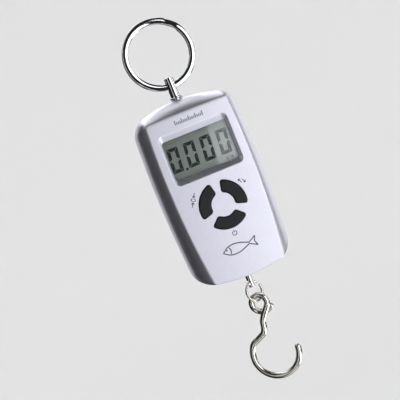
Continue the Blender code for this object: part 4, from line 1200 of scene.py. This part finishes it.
NODE_MATERIALS = {
    "white": ("lcd_frame",),
    "strip": ("zebra_strip",),
    "mat": ("keypad_mat",),
    "brass": ("post_", "draw_bar_locknut"),
    "aluminium": ("load_cell",),
    "foil": ("strain_gauge",),
    "board": ("main_board",),
    "resin": ("controller_blob", "adc_chip"),
    "black": ("battery_tray",),
    "wrap": ("battery_left", "battery_right"),
    "red": ("battery_lead_red",),
    "sleeve": ("battery_lead_black", "capacitor"),
    "grey": ("gauge_lead",),
    "steel": (
        "crystal_can",
        "battery_spring",
        "positive_contact",
        "negative_contact",
        "bridge_contact",
        "case_screw",
        "board_screw",
    ),
}


def paint_nodes():
    """Gives every CAD node that still shows its material, by how its name begins."""
    for name, node in frame["nodes"].items():
        for material, starts in NODE_MATERIALS.items():
            if name.startswith(starts):
                node.data.materials.clear()
                node.data.materials.append(MATERIALS[material])


# ---- stage


def make_floor():
    """A pale studio floor that sweeps up into the backdrop on every side."""
    floor_z = CAD_BOX[0][2] - 0.22
    flat, curve_radius, wall = 0.9, 1.4, 1.6
    curve_steps, sides = 24, 96
    profile = [(flat, 0.0)]
    for i in range(1, curve_steps + 1):
        a = math.tau / 4 * i / curve_steps
        profile.append((flat + curve_radius * math.sin(a), curve_radius * (1 - math.cos(a))))
    profile.append((flat + curve_radius, curve_radius + wall))
    bm = bmesh.new()
    centre = bm.verts.new((0, 0, floor_z))
    angles = [math.tau * i / sides for i in range(sides)]
    rings = []
    for radius, height in profile:
        points = [(radius * math.cos(a), radius * math.sin(a), floor_z + height) for a in angles]
        rings.append([bm.verts.new(point) for point in points])
    for i in range(sides):
        j = (i + 1) % sides
        bm.faces.new((centre, rings[0][i], rings[0][j]))
        for low, high in zip(rings, rings[1:]):
            bm.faces.new((low[i], high[i], high[j], low[j]))
    floor = add_mesh("studio_floor", bm)
    paper = new_material("studio_floor", (0.82, 0.82, 0.82), 0.0, 0.75)
    vary_roughness(paper, noise(paper, 3 * MM, 2.0), 0.70, 0.80)
    floor.data.materials.append(paper)
    floor.data.shade_smooth()
    floor.visible_glossy = False
    floor.visible_shadow = False


def direction_at(azimuth, elevation):
    """The direction at azimuth and elevation, in degrees; azimuth 0 is in front, 90 on the right."""
    a, e = math.radians(azimuth), math.radians(elevation)
    return Vector((math.sin(a) * math.cos(e), -math.cos(a) * math.cos(e), math.sin(e)))


def softbox(name, azimuth, elevation, distance, size, radiance, colour=(1.0, 1.0, 1.0)):
    """An area light of the given radiance, aimed at the middle of the case."""
    light = bpy.data.lights.new(name, "AREA")
    light.shape = "RECTANGLE"
    light.size, light.size_y = size
    light.energy = radiance * math.pi * size[0] * size[1]
    light.color = colour
    lamp = add_object(name, light)
    direction = direction_at(azimuth, elevation)
    lamp.location = Vector((0, 0, -80 * MM)) + direction * distance
    lamp.rotation_euler = (-direction).to_track_quat("-Z", "Y").to_euler()
    lamp.visible_camera = False
    return lamp


def make_world():
    """Pale to the eye and for fill, but dark in what polished metal mirrors."""
    world = bpy.data.worlds.new("studio")
    world.use_nodes = True
    bpy.context.scene.world = world
    background = world.node_tree.nodes["Background"]
    path = add_node(world, "ShaderNodeLightPath")
    mix = add_node(world, "ShaderNodeMix", data_type="RGBA")
    mix.inputs["A"].default_value = (1.45, 1.45, 1.46, 1.0)
    mix.inputs["B"].default_value = (0.02, 0.02, 0.022, 1.0)
    wire(world, path.outputs["Is Glossy Ray"], mix.inputs["Factor"])
    wire(world, mix.outputs["Result"], background.inputs["Color"])


# Name, azimuth, elevation, distance, width and height, radiance and, for one, its colour
SOFTBOXES = (
    ("key_softbox", 27, -10, 1.0, (0.62, 1.3), 2.2, (0.98, 0.98, 1.0)),
    ("top_softbox", 180, 76, 1.0, (0.9, 0.6), 1.35),
    ("ridge_softbox", 70, 0, 1.0, (0.16, 1.0), 3.0),
    ("low_softbox", 88, -50, 1.0, (0.9, 0.4), 3.8),
    ("strip_softbox", -24, -30, 1.0, (0.08, 0.7), 2.0),
    ("left_softbox", -40, 0, 1.0, (0.22, 1.2), 0.7),
    ("right_softbox", 125, 10, 1.0, (0.8, 0.9), 1.1),
    ("back_softbox", 175, 45, 1.2, (1.0, 0.7), 1.8),
    ("rear_softbox", 197, 5, 1.2, (0.8, 0.9), 0.8),
    ("left_fill", -70, 48, 1.2, (0.4, 0.6), 1.4),
    ("under_softbox", 0, -82, 0.9, (0.6, 0.6), 1.0),
)


def make_lights():
    """Softboxes for the scale alone; the floor and backdrop are lit evenly by the world."""
    lamps = [softbox(*values) for values in SOFTBOXES]
    lit = bpy.data.collections.new("lit_pieces")
    for item in bpy.context.scene.objects:
        if item.type == "MESH" and item.name != "studio_floor":
            lit.objects.link(item)
    for lamp in lamps:
        lamp.light_linking.receiver_collection = lit


def make_camera():
    """Level with the case and a little to its left, rolled so that the scale leans to the left."""
    lean = math.radians(22.05)
    distance = 0.474
    target = Vector((-7.8 * MM, 0, -85.5 * MM))
    toward = direction_at(-8.0, 1.8)
    camera_data = bpy.data.cameras.new("camera")
    camera_data.lens = 90.0
    camera_data.sensor_width = 36.0
    camera_data.clip_start = 0.01
    camera = add_object("camera", camera_data)
    level = Vector((0, 0, 1)).cross(toward).normalized()
    right = Matrix.Rotation(-lean, 3, toward) @ level
    rotation = Matrix((right, toward.cross(right), toward)).transposed()
    camera.matrix_world = Matrix.Translation(target + toward * distance) @ rotation.to_4x4()
    bpy.context.scene.camera = camera


def main():
    make_front_shell()
    make_rear_shell()
    make_battery_door()
    make_display()
    for name, direction in KEY_DIRECTIONS.items():
        make_key(name, direction)
    make_printing()
    make_rings()
    make_post()
    make_draw_bar()
    make_hook()
    paint_nodes()
    make_floor()
    make_world()
    make_lights()
    make_camera()
    bpy.context.scene.view_settings.view_transform = "Standard"


main()
